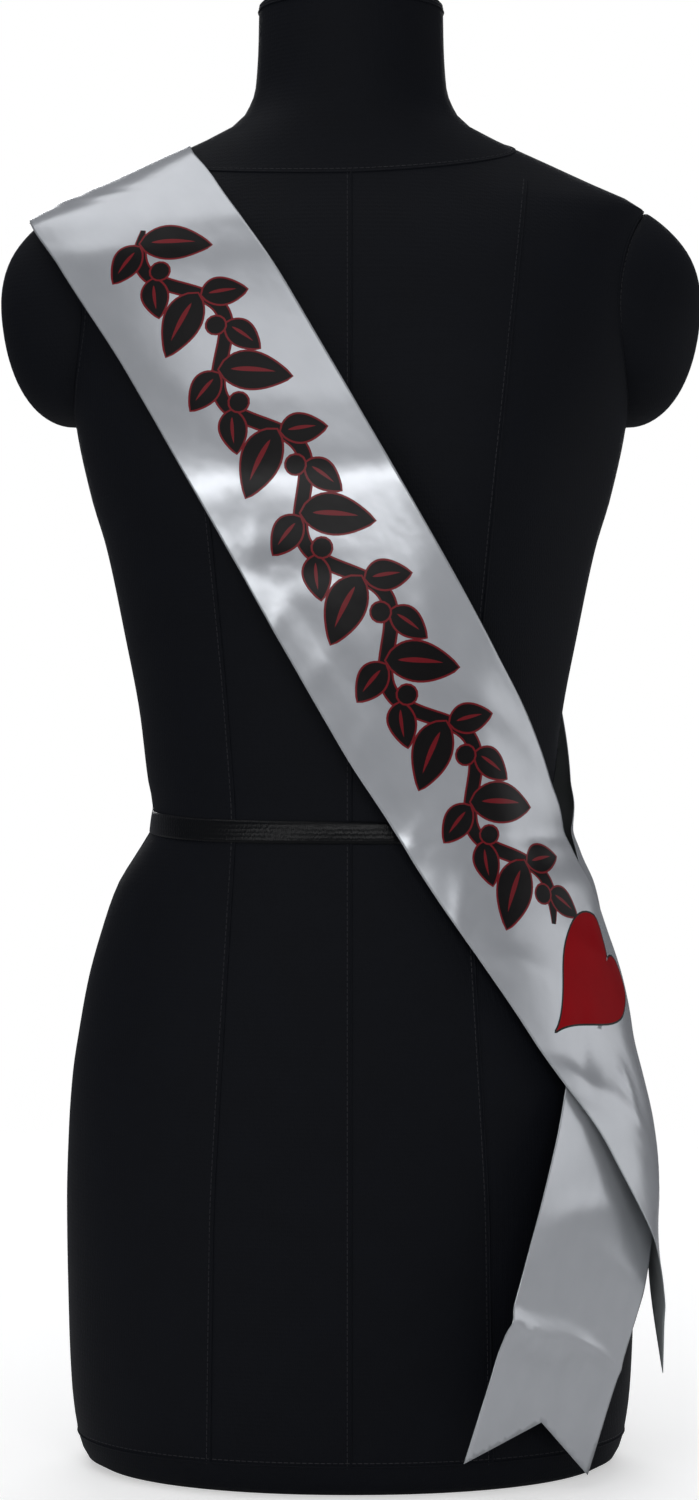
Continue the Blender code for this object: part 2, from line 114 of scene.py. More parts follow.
# How far the surface on which the ribbon lies stands off the form, and how much squarer its section is
DRAPE_ABOVE_HIP = [
    Standoff(0.2500, 0.0022, 0.0045, 0.0040, 0.10),
    Standoff(0.3010, 0.0022, 0.0045, 0.0060, 0.05),
    Standoff(0.3440, 0.0065, 0.0055, 0.0120, 0.00),
    Standoff(0.3660, 0.0115, 0.0070, 0.0140, 0.00),
    Standoff(0.3790, 0.0135, 0.0080, 0.0140, 0.00),
    Standoff(0.3950, 0.0085, 0.0095, 0.0130, 0.00),
    Standoff(0.4340, 0.0045, 0.0130, 0.0120, 0.00),
    Standoff(0.4780, 0.0035, 0.0165, 0.0110, 0.00),
    Standoff(0.5300, 0.0035, 0.0185, 0.0080, 0.00),
    Standoff(0.5600, 0.0050, 0.0190, 0.0060, 0.00),
    Standoff(0.6000, 0.0130, 0.0160, 0.0030, 0.00),
    Standoff(0.6500, 0.0300, 0.0100, 0.0020, 0.00),
    Standoff(0.6900, 0.0330, 0.0050, 0.0015, 0.00),
    Standoff(0.7000, 0.0300, 0.0038, 0.0013, 0.00),
    Standoff(0.7120, 0.0240, 0.0026, 0.0011, 0.00),
    Standoff(0.7190, 0.0148, 0.0018, 0.0010, 0.00),
    Standoff(0.7250, 0.0045, 0.0012, 0.0008, 0.00),
    Standoff(0.7310, 0.0008, 0.0008, 0.0006, 0.00),
    Standoff(0.8500, 0.0006, 0.0006, 0.0006, 0.00),
]
UNDER_DRAPE = [
    Standoff(0.0000, 0.0080, 0.0050, 0.0060, 0.10),
    Standoff(0.0900, 0.0080, 0.0050, 0.0060, 0.10),
    Standoff(0.1800, 0.0065, 0.0045, 0.0050, 0.10),
] + DRAPE_ABOVE_HIP
OVER_DRAPE = [
    Standoff(0.0000, 0.0105, 0.0110, 0.0130, 0.30),
    Standoff(0.0900, 0.0110, 0.0110, 0.0120, 0.40),
    Standoff(0.1370, 0.0105, 0.0105, 0.0110, 0.50),
    Standoff(0.1960, 0.0080, 0.0080, 0.0080, 0.40),
] + DRAPE_ABOVE_HIP

# Soft folds: the middle along and across the ribbon, half its length and width, its height,
# and its turn from the ribbon's length in degrees
FRONT_CREASES = [
    Crease(0.475, -0.012, 0.050, 0.012, 0.0016, 8.0),
    Crease(0.590, -0.022, 0.042, 0.011, 0.0022, -24.0),
    Crease(0.648, -0.006, 0.034, 0.010, 0.0018, 20.0),
    Crease(0.715, 0.012, 0.040, 0.012, 0.0022, 70.0),
]
BACK_CREASES = [
    Crease(0.330, 0.014, 0.055, 0.013, 0.0018, -10.0),
    Crease(0.450, -0.018, 0.045, 0.012, 0.0020, 14.0),
    Crease(0.852, 0.020, 0.028, 0.010, 0.0024, 84.0),
    Crease(0.846, -0.020, 0.026, 0.009, 0.0016, 96.0),
]

# Finer folds that the solids leave out, in the same words. A minus height is a trough.
FRONT_FOLDS = [
    Crease(0.050, 0.020, 0.030, 0.009, 0.0003, 76.0),
    Crease(0.118, -0.030, 0.034, 0.008, -0.0005, 12.0),
    Crease(0.205, 0.028, 0.046, 0.010, 0.0006, -6.0),
    Crease(0.261, 0.000, 0.075, 0.022, 0.0006, -69.5),
    Crease(0.282, 0.036, 0.016, 0.006, 0.0005, 30.0),
    Crease(0.300, 0.030, 0.030, 0.010, -0.0009, -60.0),
    Crease(0.322, 0.044, 0.014, 0.005, 0.0005, 52.0),
    Crease(0.345, 0.030, 0.050, 0.009, -0.0007, -8.0),
    Crease(0.358, 0.041, 0.018, 0.006, 0.0005, 58.0),
    Crease(0.378, -0.020, 0.040, 0.010, 0.0008, 13.0),
    Crease(0.406, 0.043, 0.014, 0.005, 0.0006, 48.0),
    Crease(0.430, -0.034, 0.036, 0.008, 0.0009, -18.0),
    Crease(0.462, 0.040, 0.018, 0.006, 0.0007, 62.0),
    Crease(0.492, -0.022, 0.036, 0.008, -0.0010, 26.0),
    Crease(0.508, 0.041, 0.016, 0.005, 0.0006, 44.0),
    Crease(0.545, 0.038, 0.026, 0.007, 0.0009, -34.0),
    Crease(0.572, -0.030, 0.030, 0.006, 0.0009, 38.0),
    Crease(0.616, 0.026, 0.030, 0.005, -0.0013, 34.0),
    Crease(0.630, 0.038, 0.022, 0.005, 0.0011, -24.0),
    Crease(0.652, 0.012, 0.016, 0.0035, 0.0018, 22.0),
    Crease(0.668, 0.020, 0.026, 0.006, 0.0013, -14.0),
    Crease(0.700, 0.026, 0.032, 0.008, 0.0004, -20.0),
    Crease(0.715, 0.012, 0.040, 0.012, -0.0008, 70.0),
    Crease(0.744, -0.016, 0.038, 0.009, -0.0009, 64.0),
    Crease(0.768, 0.026, 0.030, 0.007, 0.0009, 80.0),
]
BACK_FOLDS = [
    Crease(0.060, -0.022, 0.032, 0.009, 0.0006, 100.0),
    Crease(0.135, 0.030, 0.040, 0.010, -0.0006, -10.0),
    Crease(0.190, -0.026, 0.046, 0.010, 0.0007, 12.0),
    Crease(0.268, 0.034, 0.040, 0.008, 0.0008, -14.0),
    Crease(0.300, -0.034, 0.044, 0.009, -0.0006, 7.0),
    Crease(0.385, 0.032, 0.044, 0.008, 0.0009, -20.0),
    Crease(0.410, -0.006, 0.050, 0.010, -0.0009, 16.0),
    Crease(0.492, 0.020, 0.040, 0.008, 0.0010, -24.0),
    Crease(0.528, -0.034, 0.034, 0.007, 0.0009, 26.0),
    Crease(0.580, 0.010, 0.036, 0.007, -0.0009, 10.0),
    Crease(0.618, -0.028, 0.030, 0.006, 0.0008, -12.0),
    Crease(0.700, 0.026, 0.040, 0.009, 0.0009, 8.0),
    Crease(0.735, -0.022, 0.046, 0.011, -0.0008, -12.0),
    Crease(0.776, 0.012, 0.030, 0.009, 0.0008, 62.0),
    Crease(0.800, -0.030, 0.030, 0.008, 0.0007, 100.0),
    Crease(0.850, 0.050, 0.012, 0.0045, 0.0024, 84.0),
    Crease(0.854, 0.0355, 0.0075, 0.0028, 0.0014, 44.0),
    Crease(0.859, 0.0265, 0.0070, 0.0026, 0.0012, 34.0),
    Crease(0.861, 0.0180, 0.0075, 0.0026, 0.0013, 28.0),
    Crease(0.859, 0.0095, 0.0065, 0.0026, 0.0010, 38.0),
    Crease(0.856, 0.0005, 0.0065, 0.0028, 0.0011, 30.0),
    Crease(0.848, -0.030, 0.022, 0.0032, 0.0016, 96.0),
    Crease(0.872, 0.012, 0.040, 0.0080, -0.0012, 94.0),
    Crease(0.897, 0.030, 0.020, 0.0080, 0.0008, 30.0),
]

# Small sideways bends of each length in its own plane, towards the edge that is lower in front
FRONT_SWAYS = [
    Sway(0.000, 0.0000),
    Sway(0.045, 0.0048),
    Sway(0.075, 0.0036),
    Sway(0.160, 0.0000),
    Sway(0.400, 0.0000),
    Sway(0.450, -0.0020),
    Sway(0.530, 0.0000),
]
BACK_SWAYS = [
    Sway(0.000, 0.0000),
    Sway(0.660, 0.0000),
    Sway(0.860, 0.0052),
]

# The strips as the solids have them. A tail hangs free from release on, and turns about one edge.
SHOULDER_START = (-0.1400, 0.0, 0.7400)
FRONT_TAIL = Tail(0.690, 0.830, 9.0, 0.690, 0.850, -1)
BACK_TAIL = Tail(0.670, 0.780, 10.0, 0.700, 0.800, 1)
FRONT_STRIP = StripPlan(-1, 7.3, 0.817, BACK_TAIL, 0.046, 0.010, OVER_DRAPE, FRONT_SWAYS, FRONT_CREASES)
BACK_STRIP = StripPlan(1, 11.9, 0.929, FRONT_TAIL, 0.0265, 0.018, UNDER_DRAPE, BACK_SWAYS, BACK_CREASES)

# Layers as in the solids: heights of each strip's inner face over the surface it lies on
SEAM_GAP = 0.0003
INNER_LAYER = 0.0006
OUTER_LAYER = 0.0024
LAYER_RISE_START = 0.30
LAYER_RISE_END = 0.50

# How finely a strip is walked, how far behind the ridge the walk starts, the height below which it falls
# straight, and the reach over which a slope is measured
MARCH_STEP = 0.002
HALF_COLUMNS = 16
RIDGE_LEAD = 0.016
PLUMB_HEIGHT = 0.045
SLOPE_REACH = 0.0002

# The cloth's face over its solid's inner face, its lowest place over the drape, where along the ribbon the
# finer folds begin and are full, and the selvedge's rise with the width over which it rises
CLOTH_FACE = 0.0009
LOWEST_FACE = 0.0007
FOLDS_BEGIN = 0.01
FOLDS_FULL = 0.07
SELVEDGE_RISE = 0.00012
SELVEDGE_SLOPE = 0.0006

# How far the cloth's grid keeps from its cut lines, as a share of the mesh step
GRID_CLEARANCE = 0.45

# The satin: size of its puckers, spread of its roughness, and how its firm selvedge is shaded
PUCKER_LENGTH = 0.024
PUCKER_WIDTH = 0.015
GLOSS_SPREAD = 0.003
SELVEDGE_BLEND = 0.6
SELVEDGE_COVER = 0.30
SELVEDGE_SHADE = 0.72

# The jersey: how much longer than wide its stitches are drawn, the scale of its mottle, the shades between
# which it varies, and the colour of its lint
KNIT_STRETCH = 0.45
MOTTLE_SCALE = 38.0
MOTTLE_DARK = 0.75
MOTTLE_LIGHT = 1.35
LINT = "8c93a6"

# A ribbon's finishes in the order of its material slots
RIBBON_FINISHES = (
    # Polyester satin, calendered: long bright bands across the ribbon where it turns to the light
    Finish("satin", "white polyester satin", 0.27, 0.5, 0.42, 0.06, True),
    # Screen ink on satin: flat near black, and a little of the satin's shine comes through
    Finish("ink", "black screen ink on satin", 0.36, 0.18, 0.0, 0.10, False),
    # The same ink in dark red, a thin line round the black
    Finish("edging", "dark red screen ink", 0.35, 0.25, 0.0, 0.08, False),
    # A full area of red ink: even and slightly grainy where the weave takes it up
    Finish("heart", "red screen ink", 0.48, 0.05, 0.0, 0.12, False),
    # Reverse of the satin: the weft shows, so it is duller and greyer
    Finish("reverse", "satin reverse", 0.60, 0.3, 0.0, 0.06, True),
)

# The leaves of one bend of the vine: length, width and bend are shares of the largest leaf's length
LEAVES = (
    Leaf(-0.014, 0.62, 0.40, 74.0, -0.08),
    Leaf(-0.016, 1.00, 0.54, -62.0, 0.14),
    Leaf(0.008, 0.60, 0.36, 30.0, -0.08),
)
# Shares of a leaf that its vein takes, then the stem's mesh and tips, and a berry's place beside the crest
VEIN_START = 0.16
VEIN_LENGTH = 0.62
VEIN_WIDTH = 0.13
VEIN_BEND = 0.45
STEM_STEPS = 26
STEM_TAPER = 0.02
STEM_TIP = 0.35
BERRY_LAG = 0.006
BERRY_REACH = 0.0170

# Seams of the form: heights of the neck seam in front, behind, and its rise from the right shoulder to the
# left, of the seams at the cap and the hem, how far the pads' seams lie outside their rims, and how far a row
# of stitches lies from its seam
NECK_SEAM_FRONT = 0.7385
NECK_SEAM_BACK = 0.7760
NECK_SEAM_TILT = 0.0050
CAP_SEAM = 0.8415
HEM_SEAM = 0.0180
PAD_SEAM_MARGIN = 0.0012
SEAM_TO_STITCHES = 0.0021

# Where the princess seams run: height, distance from the middle
PRINCESS_FRONT = ((0.018, 0.078), (0.16, 0.076), (0.37, 0.064), (0.45, 0.070), (0.56, 0.080), (0.735, 0.100))
PRINCESS_BACK = ((0.018, 0.070), (0.20, 0.066), (0.37, 0.048), (0.50, 0.062), (0.65, 0.078), (0.735, 0.092))

# Thread: its colours, the share of a stitch's spacing that shows, its radius, and the shoulder's stitches
BLACK_THREAD = "1b1b20"
WHITE_THREAD = "b4b6ba"
STITCH_SHARE = 0.68
THREAD_RADIUS = 0.00022
SHOULDER_STITCH = {"Spacing": 0.0028, "Length": 0.0020, "Radius": 0.0002}

# The waist tape: heights of its middle in front and at the sides, the angles in degrees where it starts and
# by which it laps over itself, where and how far the lap rises, its mesh, and its own form
TAPE_FRONT = 0.3663
TAPE_SIDE = 0.3723
TAPE_START = 84.0
TAPE_LAP = 16.0
TAPE_LAP_BEGINS = 0.90
TAPE_LAP_FULL = 0.965
TAPE_LAP_RISE = 0.0009
TAPE_STEPS = 240
TAPE_COLUMNS = 7
TAPE_PROUD = 0.0008
TAPE_CROWN = 0.0004
TAPE_THICKNESS = 0.0005
# Where the tape rolls about its middle: angle and spread in degrees, and how far an edge tips in
TAPE_ROLLS = (
    Roll(138.0, 12.0, -0.0004),
    Roll(181.0, 9.0, 0.0003),
    Roll(221.0, 13.0, 0.0007),
    Roll(262.0, 12.0, -0.0003),
    Roll(318.0, 16.0, 0.0005),
    Roll(352.0, 10.0, -0.0003),
    Roll(401.0, 18.0, 0.0004),
)

# Soft lights round the form: the power setting that feeds each, its share of that, its size and its tilt
LIGHT_TARGET = (0.0, 0.0, 0.50)
LIGHTS = (
    Light("window", (0.10, -1.9, 0.73), "window_power", 1.0, 1.7, 0.20, 0.0),
    Light("side_window", (-1.45, -1.7, 0.44), "window_power", 0.75, 1.2, 0.24, 10.0),
    Light("high_front", (-0.2, -1.7, 1.85), "top_power", 0.5, 1.6, 0.9, 0.0),
    Light("top_light", (-0.3, 0.0, 2.1), "top_power", 1.0, 1.4, 2.0, 0.0),
    Light("left_fill", (-2.0, -0.6, 0.9), "fill_power", 0.18, 1.0, 1.6, 0.0),
    Light("right_fill", (1.9, -0.1, 0.46), "fill_power", 1.0, 2.0, 0.8, 0.0),
    Light("front_fill", (1.3, -1.9, 0.22), "fill_power", 0.12, 1.4, 0.4, 0.0),
    Light("back_light", (0.0, 2.2, 1.2), "top_power", 1.6, 1.8, 1.2, 0.0),
)
ROOM_LIGHT = "f4f6ff"
FLOOR_RADIUS = 1.8
FLOOR_SIDES = 96
FLOOR_DROP = 0.0004
FLOOR_FADE = (0.5, 1.6)

# Angles in degrees past which an edge of the form or of a pad stays sharp
FORM_SHARP = 48
PAD_SHARP = 50

# The arm pads, as in their solids
PAD_CENTRE_Y = 0.004
PAD_CENTRE_Z = 0.6625
PAD_HALF_DEPTH = 0.050
PAD_HALF_HEIGHT = 0.0620
PAD_REACH = 0.0345
PAD_RIM = 0.0020
PAD_ROUNDNESS = 2.4
PAD_FALL = 0.70
PAD_TOP_SLOPE = 0.22
PAD_GAP = 0.0006


# Colours and nodes


def linear(hex_colour):
    """Linear RGBA of an sRGB hex colour such as 'a0a4ac'."""
    parts = [int(hex_colour[i : i + 2], 16) / 255.0 for i in (0, 2, 4)]
    return tuple(c / 12.92 if c <= 0.04045 else ((c + 0.055) / 1.055) ** 2.4 for c in parts) + (1.0,)


def add_node(material, kind, settings=None, links=None):
    """Add a node. settings maps its own values and its inputs' defaults, links maps its inputs to sockets."""
    tree = getattr(material, "node_tree", material)
    node = tree.nodes.new(kind)
    for key, value in (settings or {}).items():
        if isinstance(key, int) or key in node.inputs:
            node.inputs[key].default_value = value
        else:
            setattr(node, key, value)
    for key, socket in (links or {}).items():
        tree.links.new(socket, node.inputs[key])
    return node


def new_material(name):
    """Empty node material with its output, returned with that output node."""
    material = bpy.data.materials.new(name)
    material.use_nodes = True
    material.node_tree.nodes.clear()
    return material, add_node(material, "ShaderNodeOutputMaterial")


# Tables and surfaces


def unit(vectors):
    """Vectors brought to length 1."""
    return vectors / np.linalg.norm(vectors, axis=-1, keepdims=True)


def ease(value, low, high):
    """0 below low, 1 above high, and a smooth step between."""
    t = np.clip((value - low) / (high - low), 0.0, 1.0)
    return t * t * (3 - 2 * t)


def slope_of(level, points):
    """Gradient of a surface's level, by central differences."""
    shifts = np.concatenate([np.eye(3), -np.eye(3)]) * SLOPE_REACH
    around = level(points[..., None, :] + shifts)
    return (around[..., :3] - around[..., 3:]) / (2 * SLOPE_REACH)


def settled(level, points, rounds):
    """Points brought onto the surface where the level is 0."""
    for _ in range(rounds):
        slope = slope_of(level, points)
        share = level(points) / np.sum(slope * slope, axis=-1)
        points = points - slope * share[..., None]
    return points


class Column:
    """One named column of a table, read at any height without overshoot."""

    def __init__(self, rows, name):
        self.heights = np.array([row.height for row in rows])
        self.values = np.array([getattr(row, name) for row in rows])
        self.spans = np.diff(self.heights)
        rises = np.diff(self.values) / self.spans
        before = rises[:-1]
        after = rises[1:]
        same = before * after > 0.0
        total = np.where(same, before + after, 1.0)
        self.slopes = np.zeros(len(rows))
        self.slopes[1:-1] = np.where(same, 2.0 * before * after / total, 0.0)

    def __call__(self, height):
        height = np.clip(height, self.heights[0], self.heights[-1])
        i = np.clip(np.searchsorted(self.heights, height, side="right") - 1, 0, len(self.spans) - 1)
        span = self.spans[i]
        t = (height - self.heights[i]) / span
        return (
            self.values[i] * (1 + 2 * t) * (1 - t) ** 2
            + self.slopes[i] * span * t * (1 - t) ** 2
            + self.values[i + 1] * t * t * (3 - 2 * t)
            + self.slopes[i + 1] * span * t * t * (t - 1)
        )


form_half_width = Column(FORM, "half_width")
form_front = Column(FORM, "front")
form_back = Column(FORM, "back")
form_squareness = Column(FORM, "squareness")


def bust_rise(x, height):
    """Forward rise of the two soft bust rounds."""
    across = (np.abs(x) - BUST_SPREAD) / BUST_RADIUS
    up = (height - BUST_HEIGHT) / (BUST_RADIUS * BUST_TALLNESS)
    return BUST_RISE * np.exp(-0.5 * (across * across + up * up))


def form_points(angle, height):
    """Points on the form's surface at angles round it and heights."""
    angle, height = np.broadcast_arrays(np.asarray(angle, float), np.asarray(height, float))
    power = 2.0 / form_squareness(height)
    x = np.copysign(np.abs(np.cos(angle)) ** power, np.cos(angle)) * form_half_width(height)
    depth = np.where(np.sin(angle) > 0.0, form_back(height), form_front(height))
    y = np.copysign(np.abs(np.sin(angle)) ** power, np.sin(angle)) * depth
    y = np.where(y < 0.0, y - bust_rise(x, height) * np.minimum(1.0, -y / BUST_FADE), y)
    return np.stack([x, y, height], axis=-1)


def form_face_points(x, height, face):
    """Points on the form's front (face -1) or back (face 1) at distances x from its middle and heights."""
    x, height = np.broadcast_arrays(np.asarray(x, float), np.asarray(height, float))
    power = form_squareness(height)
    depth = form_back(height) if face > 0 else form_front(height)
    inside = 1 - np.minimum(0.999, np.abs(x) / form_half_width(height)) ** power
    y = face * depth * inside ** (1 / power)
    if face < 0:
        y = y - bust_rise(x, height) * np.minimum(1.0, -y / BUST_FADE)
    return np.stack([x, y, height], axis=-1)


def folded(creases, along, across):
    """Height that a list of soft folds adds."""
    height = np.zeros(np.shape(along))
    for crease in creases:
        turn = math.radians(crease.turn)
        x = along - crease.along
        y = across - crease.across
        lengthwise = (x * math.cos(turn) + y * math.sin(turn)) / crease.length
        crosswise = (y * math.cos(turn) - x * math.sin(turn)) / crease.width
        height = height + crease.height * np.exp(-lengthwise ** 2 - crosswise ** 2)
    return height


class Drape:
    """The surface on which one strip of ribbon lies, and walks over it."""

    def __init__(self, rows):
        self.side = Column(rows, "side")
        self.front = Column(rows, "front")
        self.back = Column(rows, "back")
        self.squarer = Column(rows, "squarer")

    def level(self, points):
        """0 on the surface, below 0 inside it and above 0 outside. Near the floor it falls straight."""
        height = np.maximum(points[..., 2], PLUMB_HEIGHT)
        half_width = form_half_width(height) + self.side(height)
        behind = form_back(height) + self.back(height)
        before = form_front(height) + self.front(height)
        depth = np.where(points[..., 1] > 0.0, behind, before)
        power = form_squareness(height) + self.squarer(height)
        total = (np.abs(points[..., 0]) / half_width) ** power + (np.abs(points[..., 1]) / depth) ** power
        return total ** (1.0 / power) - 1.0

    def settle(self, points):
        """Bring points onto the surface and return them with the outward normals there."""
        points = settled(self.level, points, 4)
        return points, unit(slope_of(self.level, points))

    def step(self, points, headings, distance):
        """One step of the shortest way over the surface."""
        ahead, normals = self.settle(points + headings * distance)
        turned = ahead - points
        turned = unit(turned - normals * np.sum(turned * normals, axis=-1, keepdims=True))
        return ahead, turned, normals


class Strip:
    """One straight length of ribbon from the shoulder ridge to its swallowtail, as a grid of points."""

    def __init__(self, plan, width):
        self.plan = plan
        self.width = width
        self.drape = Drape(plan.drape)
        self.walk()
        self.sway()
        self.spread()

    def looseness(self, along):
        """0 where the ribbon lies on the form and 1 where its tail hangs straight and flat."""
        return ease(along, self.plan.tail.release, self.plan.tail.free)

    def sway(self):
        """Shift the middle line sideways as the sways say."""
        along = np.arange(len(self.middle)) * MARCH_STEP - RIDGE_LEAD
        shift = np.zeros(len(along))
        for before, after in zip(self.plan.sways, self.plan.sways[1:]):
            shift = shift + (after.shift - before.shift) * ease(along, before.along, after.along)
        loose = self.looseness(along)[:, None]
        free = self.middle + np.cross(self.heading, self.normal) * shift[:, None]
        held, held_normal = self.drape.settle(free)
        self.middle = held + (free - held) * loose
        self.normal = unit(held_normal + (self.normal - held_normal) * loose)
        heading = np.gradient(self.middle, axis=0)
        self.heading = unit(heading - self.normal * np.sum(heading * self.normal, axis=-1, keepdims=True))

    def walk(self):
        """Middle line: the shortest way over the drape, and straight on where the tail has let go."""
        plan = self.plan
        turn = math.radians(plan.turn)
        point, normal = self.drape.settle(np.array(SHOULDER_START))
        ridge = unit(np.array([1.0, 0.0, 0.0]) - normal * normal[0])
        heading = unit(np.array([0.0, plan.side, 0.0]) * math.cos(turn) + ridge * math.sin(turn))
        trail = [(point, heading, normal)]
        behind = (point, -heading)
        for _ in range(round(RIDGE_LEAD / MARCH_STEP)):
            ahead, turned, up = self.drape.step(behind[0], behind[1], MARCH_STEP)
            behind = (ahead, turned)
            trail.insert(0, (ahead, -turned, up))
        for i in range(round(plan.length / MARCH_STEP) + 1):
            loose = self.looseness(i * MARCH_STEP)
            free = point + heading * MARCH_STEP
            held, held_normal = self.drape.settle(free)
            ahead = held + (free - held) * loose
            normal = unit(held_normal + (normal - held_normal) * loose)
            heading = ahead - point
            heading = unit(heading - normal * np.dot(heading, normal))
            point = ahead
            trail.append((point, heading, normal))
        self.middle, self.heading, self.normal = (np.array(part) for part in zip(*trail))

    def spread(self):
        """Spread the middle line to both edges, bending over the drape where the ribbon lies on it."""
        tail = self.plan.tail
        rows = len(self.middle)
        along = np.arange(rows) * MARCH_STEP - RIDGE_LEAD
        loose = self.looseness(along)[:, None]
        aside = unit(np.cross(self.heading, self.normal))
        turn = math.radians(tail.twist) * ease(along, tail.twist_start, tail.twist_end)[:, None]
        turned = aside * np.cos(turn) + self.normal * np.sin(turn)
        up = self.normal * np.cos(turn) - aside * np.sin(turn)
        gap = self.width / 2 / HALF_COLUMNS
        self.points = np.zeros((rows, 2 * HALF_COLUMNS + 1, 3))
        self.normals = np.zeros_like(self.points)
        self.points[:, HALF_COLUMNS] = self.middle
        self.normals[:, HALF_COLUMNS] = self.normal
        for hand in (-1, 1):
            held, held_normal = self.drape.settle(self.middle)
            way = unit(aside - held_normal * np.sum(aside * held_normal, axis=-1, keepdims=True)) * hand
            for k in range(1, HALF_COLUMNS + 1):
                held, way, held_normal = self.drape.step(held, way, gap)
                flat = self.middle + aside * hand * gap * k
                self.points[:, HALF_COLUMNS + hand * k] = held + (flat - held) * loose
                normals = held_normal + (self.normal - held_normal) * loose
                self.normals[:, HALF_COLUMNS + hand * k] = unit(normals)
        for column in range(2 * HALF_COLUMNS + 1):
            across = (column / HALF_COLUMNS - 1 - tail.hinge) * self.width / 2
            self.points[:, column] += (turned - aside) * across
            self.normals[:, column] = unit(self.normals[:, column] + up - self.normal)

    def at(self, along, across):
        """Points and normals at lengths along the ribbon and distances across it."""
        along, across = np.broadcast_arrays(np.asarray(along, float), np.asarray(across, float))
        row = np.clip((along + RIDGE_LEAD) / MARCH_STEP, 0, len(self.middle) - 1.001)
        column = np.clip((across / self.width + 0.5) * 2 * HALF_COLUMNS, 0, 2 * HALF_COLUMNS - 0.001)
        i = row.astype(int)
        j = column.astype(int)
        a = (row - i)[..., None]
        b = (column - j)[..., None]
        result = []
        for grid in (self.points, self.normals):
            near = grid[i, j] * (1 - b) + grid[i, j + 1] * b
            far = grid[i + 1, j] * (1 - b) + grid[i + 1, j + 1] * b
            result.append(near * (1 - a) + far * a)
        return result[0], unit(result[1])

    def lift(self, along, across):
        """Height of the ribbon's inner face over the drape, folds included."""
        height = np.full(np.shape(along), INNER_LAYER)
        if self.plan.drape is OVER_DRAPE:
            height = height + (OUTER_LAYER - INNER_LAYER) * ease(along, LAYER_RISE_START, LAYER_RISE_END)
        return height + folded(self.plan.creases, along, across)

    def reach(self, across):
        """Length along the strip at which the swallowtail is cut."""
        share = across / (self.width / 2)
        notch = self.plan.prong_depth * (1 - np.abs(share))
        return self.plan.length - self.plan.slant * (1 - share) / 2 - notch

    def crown(self, across):
        """Length along the strip at which it is cut on the shoulder ridge."""
        turn = math.radians(self.plan.turn)
        along = self.plan.side * across * math.tan(turn)
        for _ in range(8):
            offset = self.at(along, across)[0][..., 1] * self.plan.side - SEAM_GAP / 2
            along = along - offset / math.cos(turn)
        return along


# Flat pattern of the ribbon and its print


def swell(loop, grow):
    """Outline moved out by grow. The loop runs anticlockwise."""
    way = unit(np.roll(loop, -1, axis=0) - np.roll(loop, 1, axis=0))
    return loop + np.stack([way[:, 1], -way[:, 0]], axis=-1) * grow


def inside(points, loop):
    """True for the points inside a closed outline."""
    result = np.zeros(len(points), bool)
    low = loop.min(axis=0)
    high = loop.max(axis=0)
    near = np.flatnonzero(np.all((points >= low) & (points <= high), axis=1))
    x, y = points[near, 0][:, None], points[near, 1][:, None]
    a = loop
    b = np.roll(loop, -1, axis=0)
    crosses = (a[:, 1] > y) != (b[:, 1] > y)
    rise = np.where(a[:, 1] == b[:, 1], 1.0, b[:, 1] - a[:, 1])
    at = a[:, 0] + (y - a[:, 1]) * (b[:, 0] - a[:, 0]) / rise
    result[near] = np.sum(crosses & (x < at), axis=1) % 2 == 1
    return result


def placed(loop, middle, turn):
    """Outline turned by an angle in degrees and moved to its middle."""
    angle = math.radians(turn)
    spin = np.array([[math.cos(angle), math.sin(angle)], [-math.sin(angle), math.cos(angle)]])
    return loop @ spin + np.array(middle)


def leaf_outline(length, width, bend, count=15):
    """Pointed leaf from the origin along X, bent towards +Y."""
    u = np.linspace(0.0, 1.0, count)
    half = 0.5 * width * np.sin(np.pi * u ** 0.8) ** 0.85
    spine = bend * u * u
    lower = np.stack([u * length, spine - half], axis=-1)
    upper = np.stack([u * length, spine + half], axis=-1)[::-1]
    return np.concatenate([lower, upper[1:-1]])


def round_outline(radius, count=14):
    angle = np.linspace(0.0, 2 * np.pi, count, endpoint=False)
    return np.stack([np.cos(angle), np.sin(angle)], axis=-1) * radius


def heart_outline(width, tallness, count=72):
    """Heart with its point towards +Y, from the usual parametric curve."""
    angle = np.linspace(0.0, 2 * np.pi, count, endpoint=False)
    x = 16 * np.sin(angle) ** 3
    y = 13 * np.cos(angle) - 5 * np.cos(2 * angle) - 2 * np.cos(3 * angle) - np.cos(4 * angle)
    return np.stack([x, -y * tallness], axis=-1) * (width / 32.0)


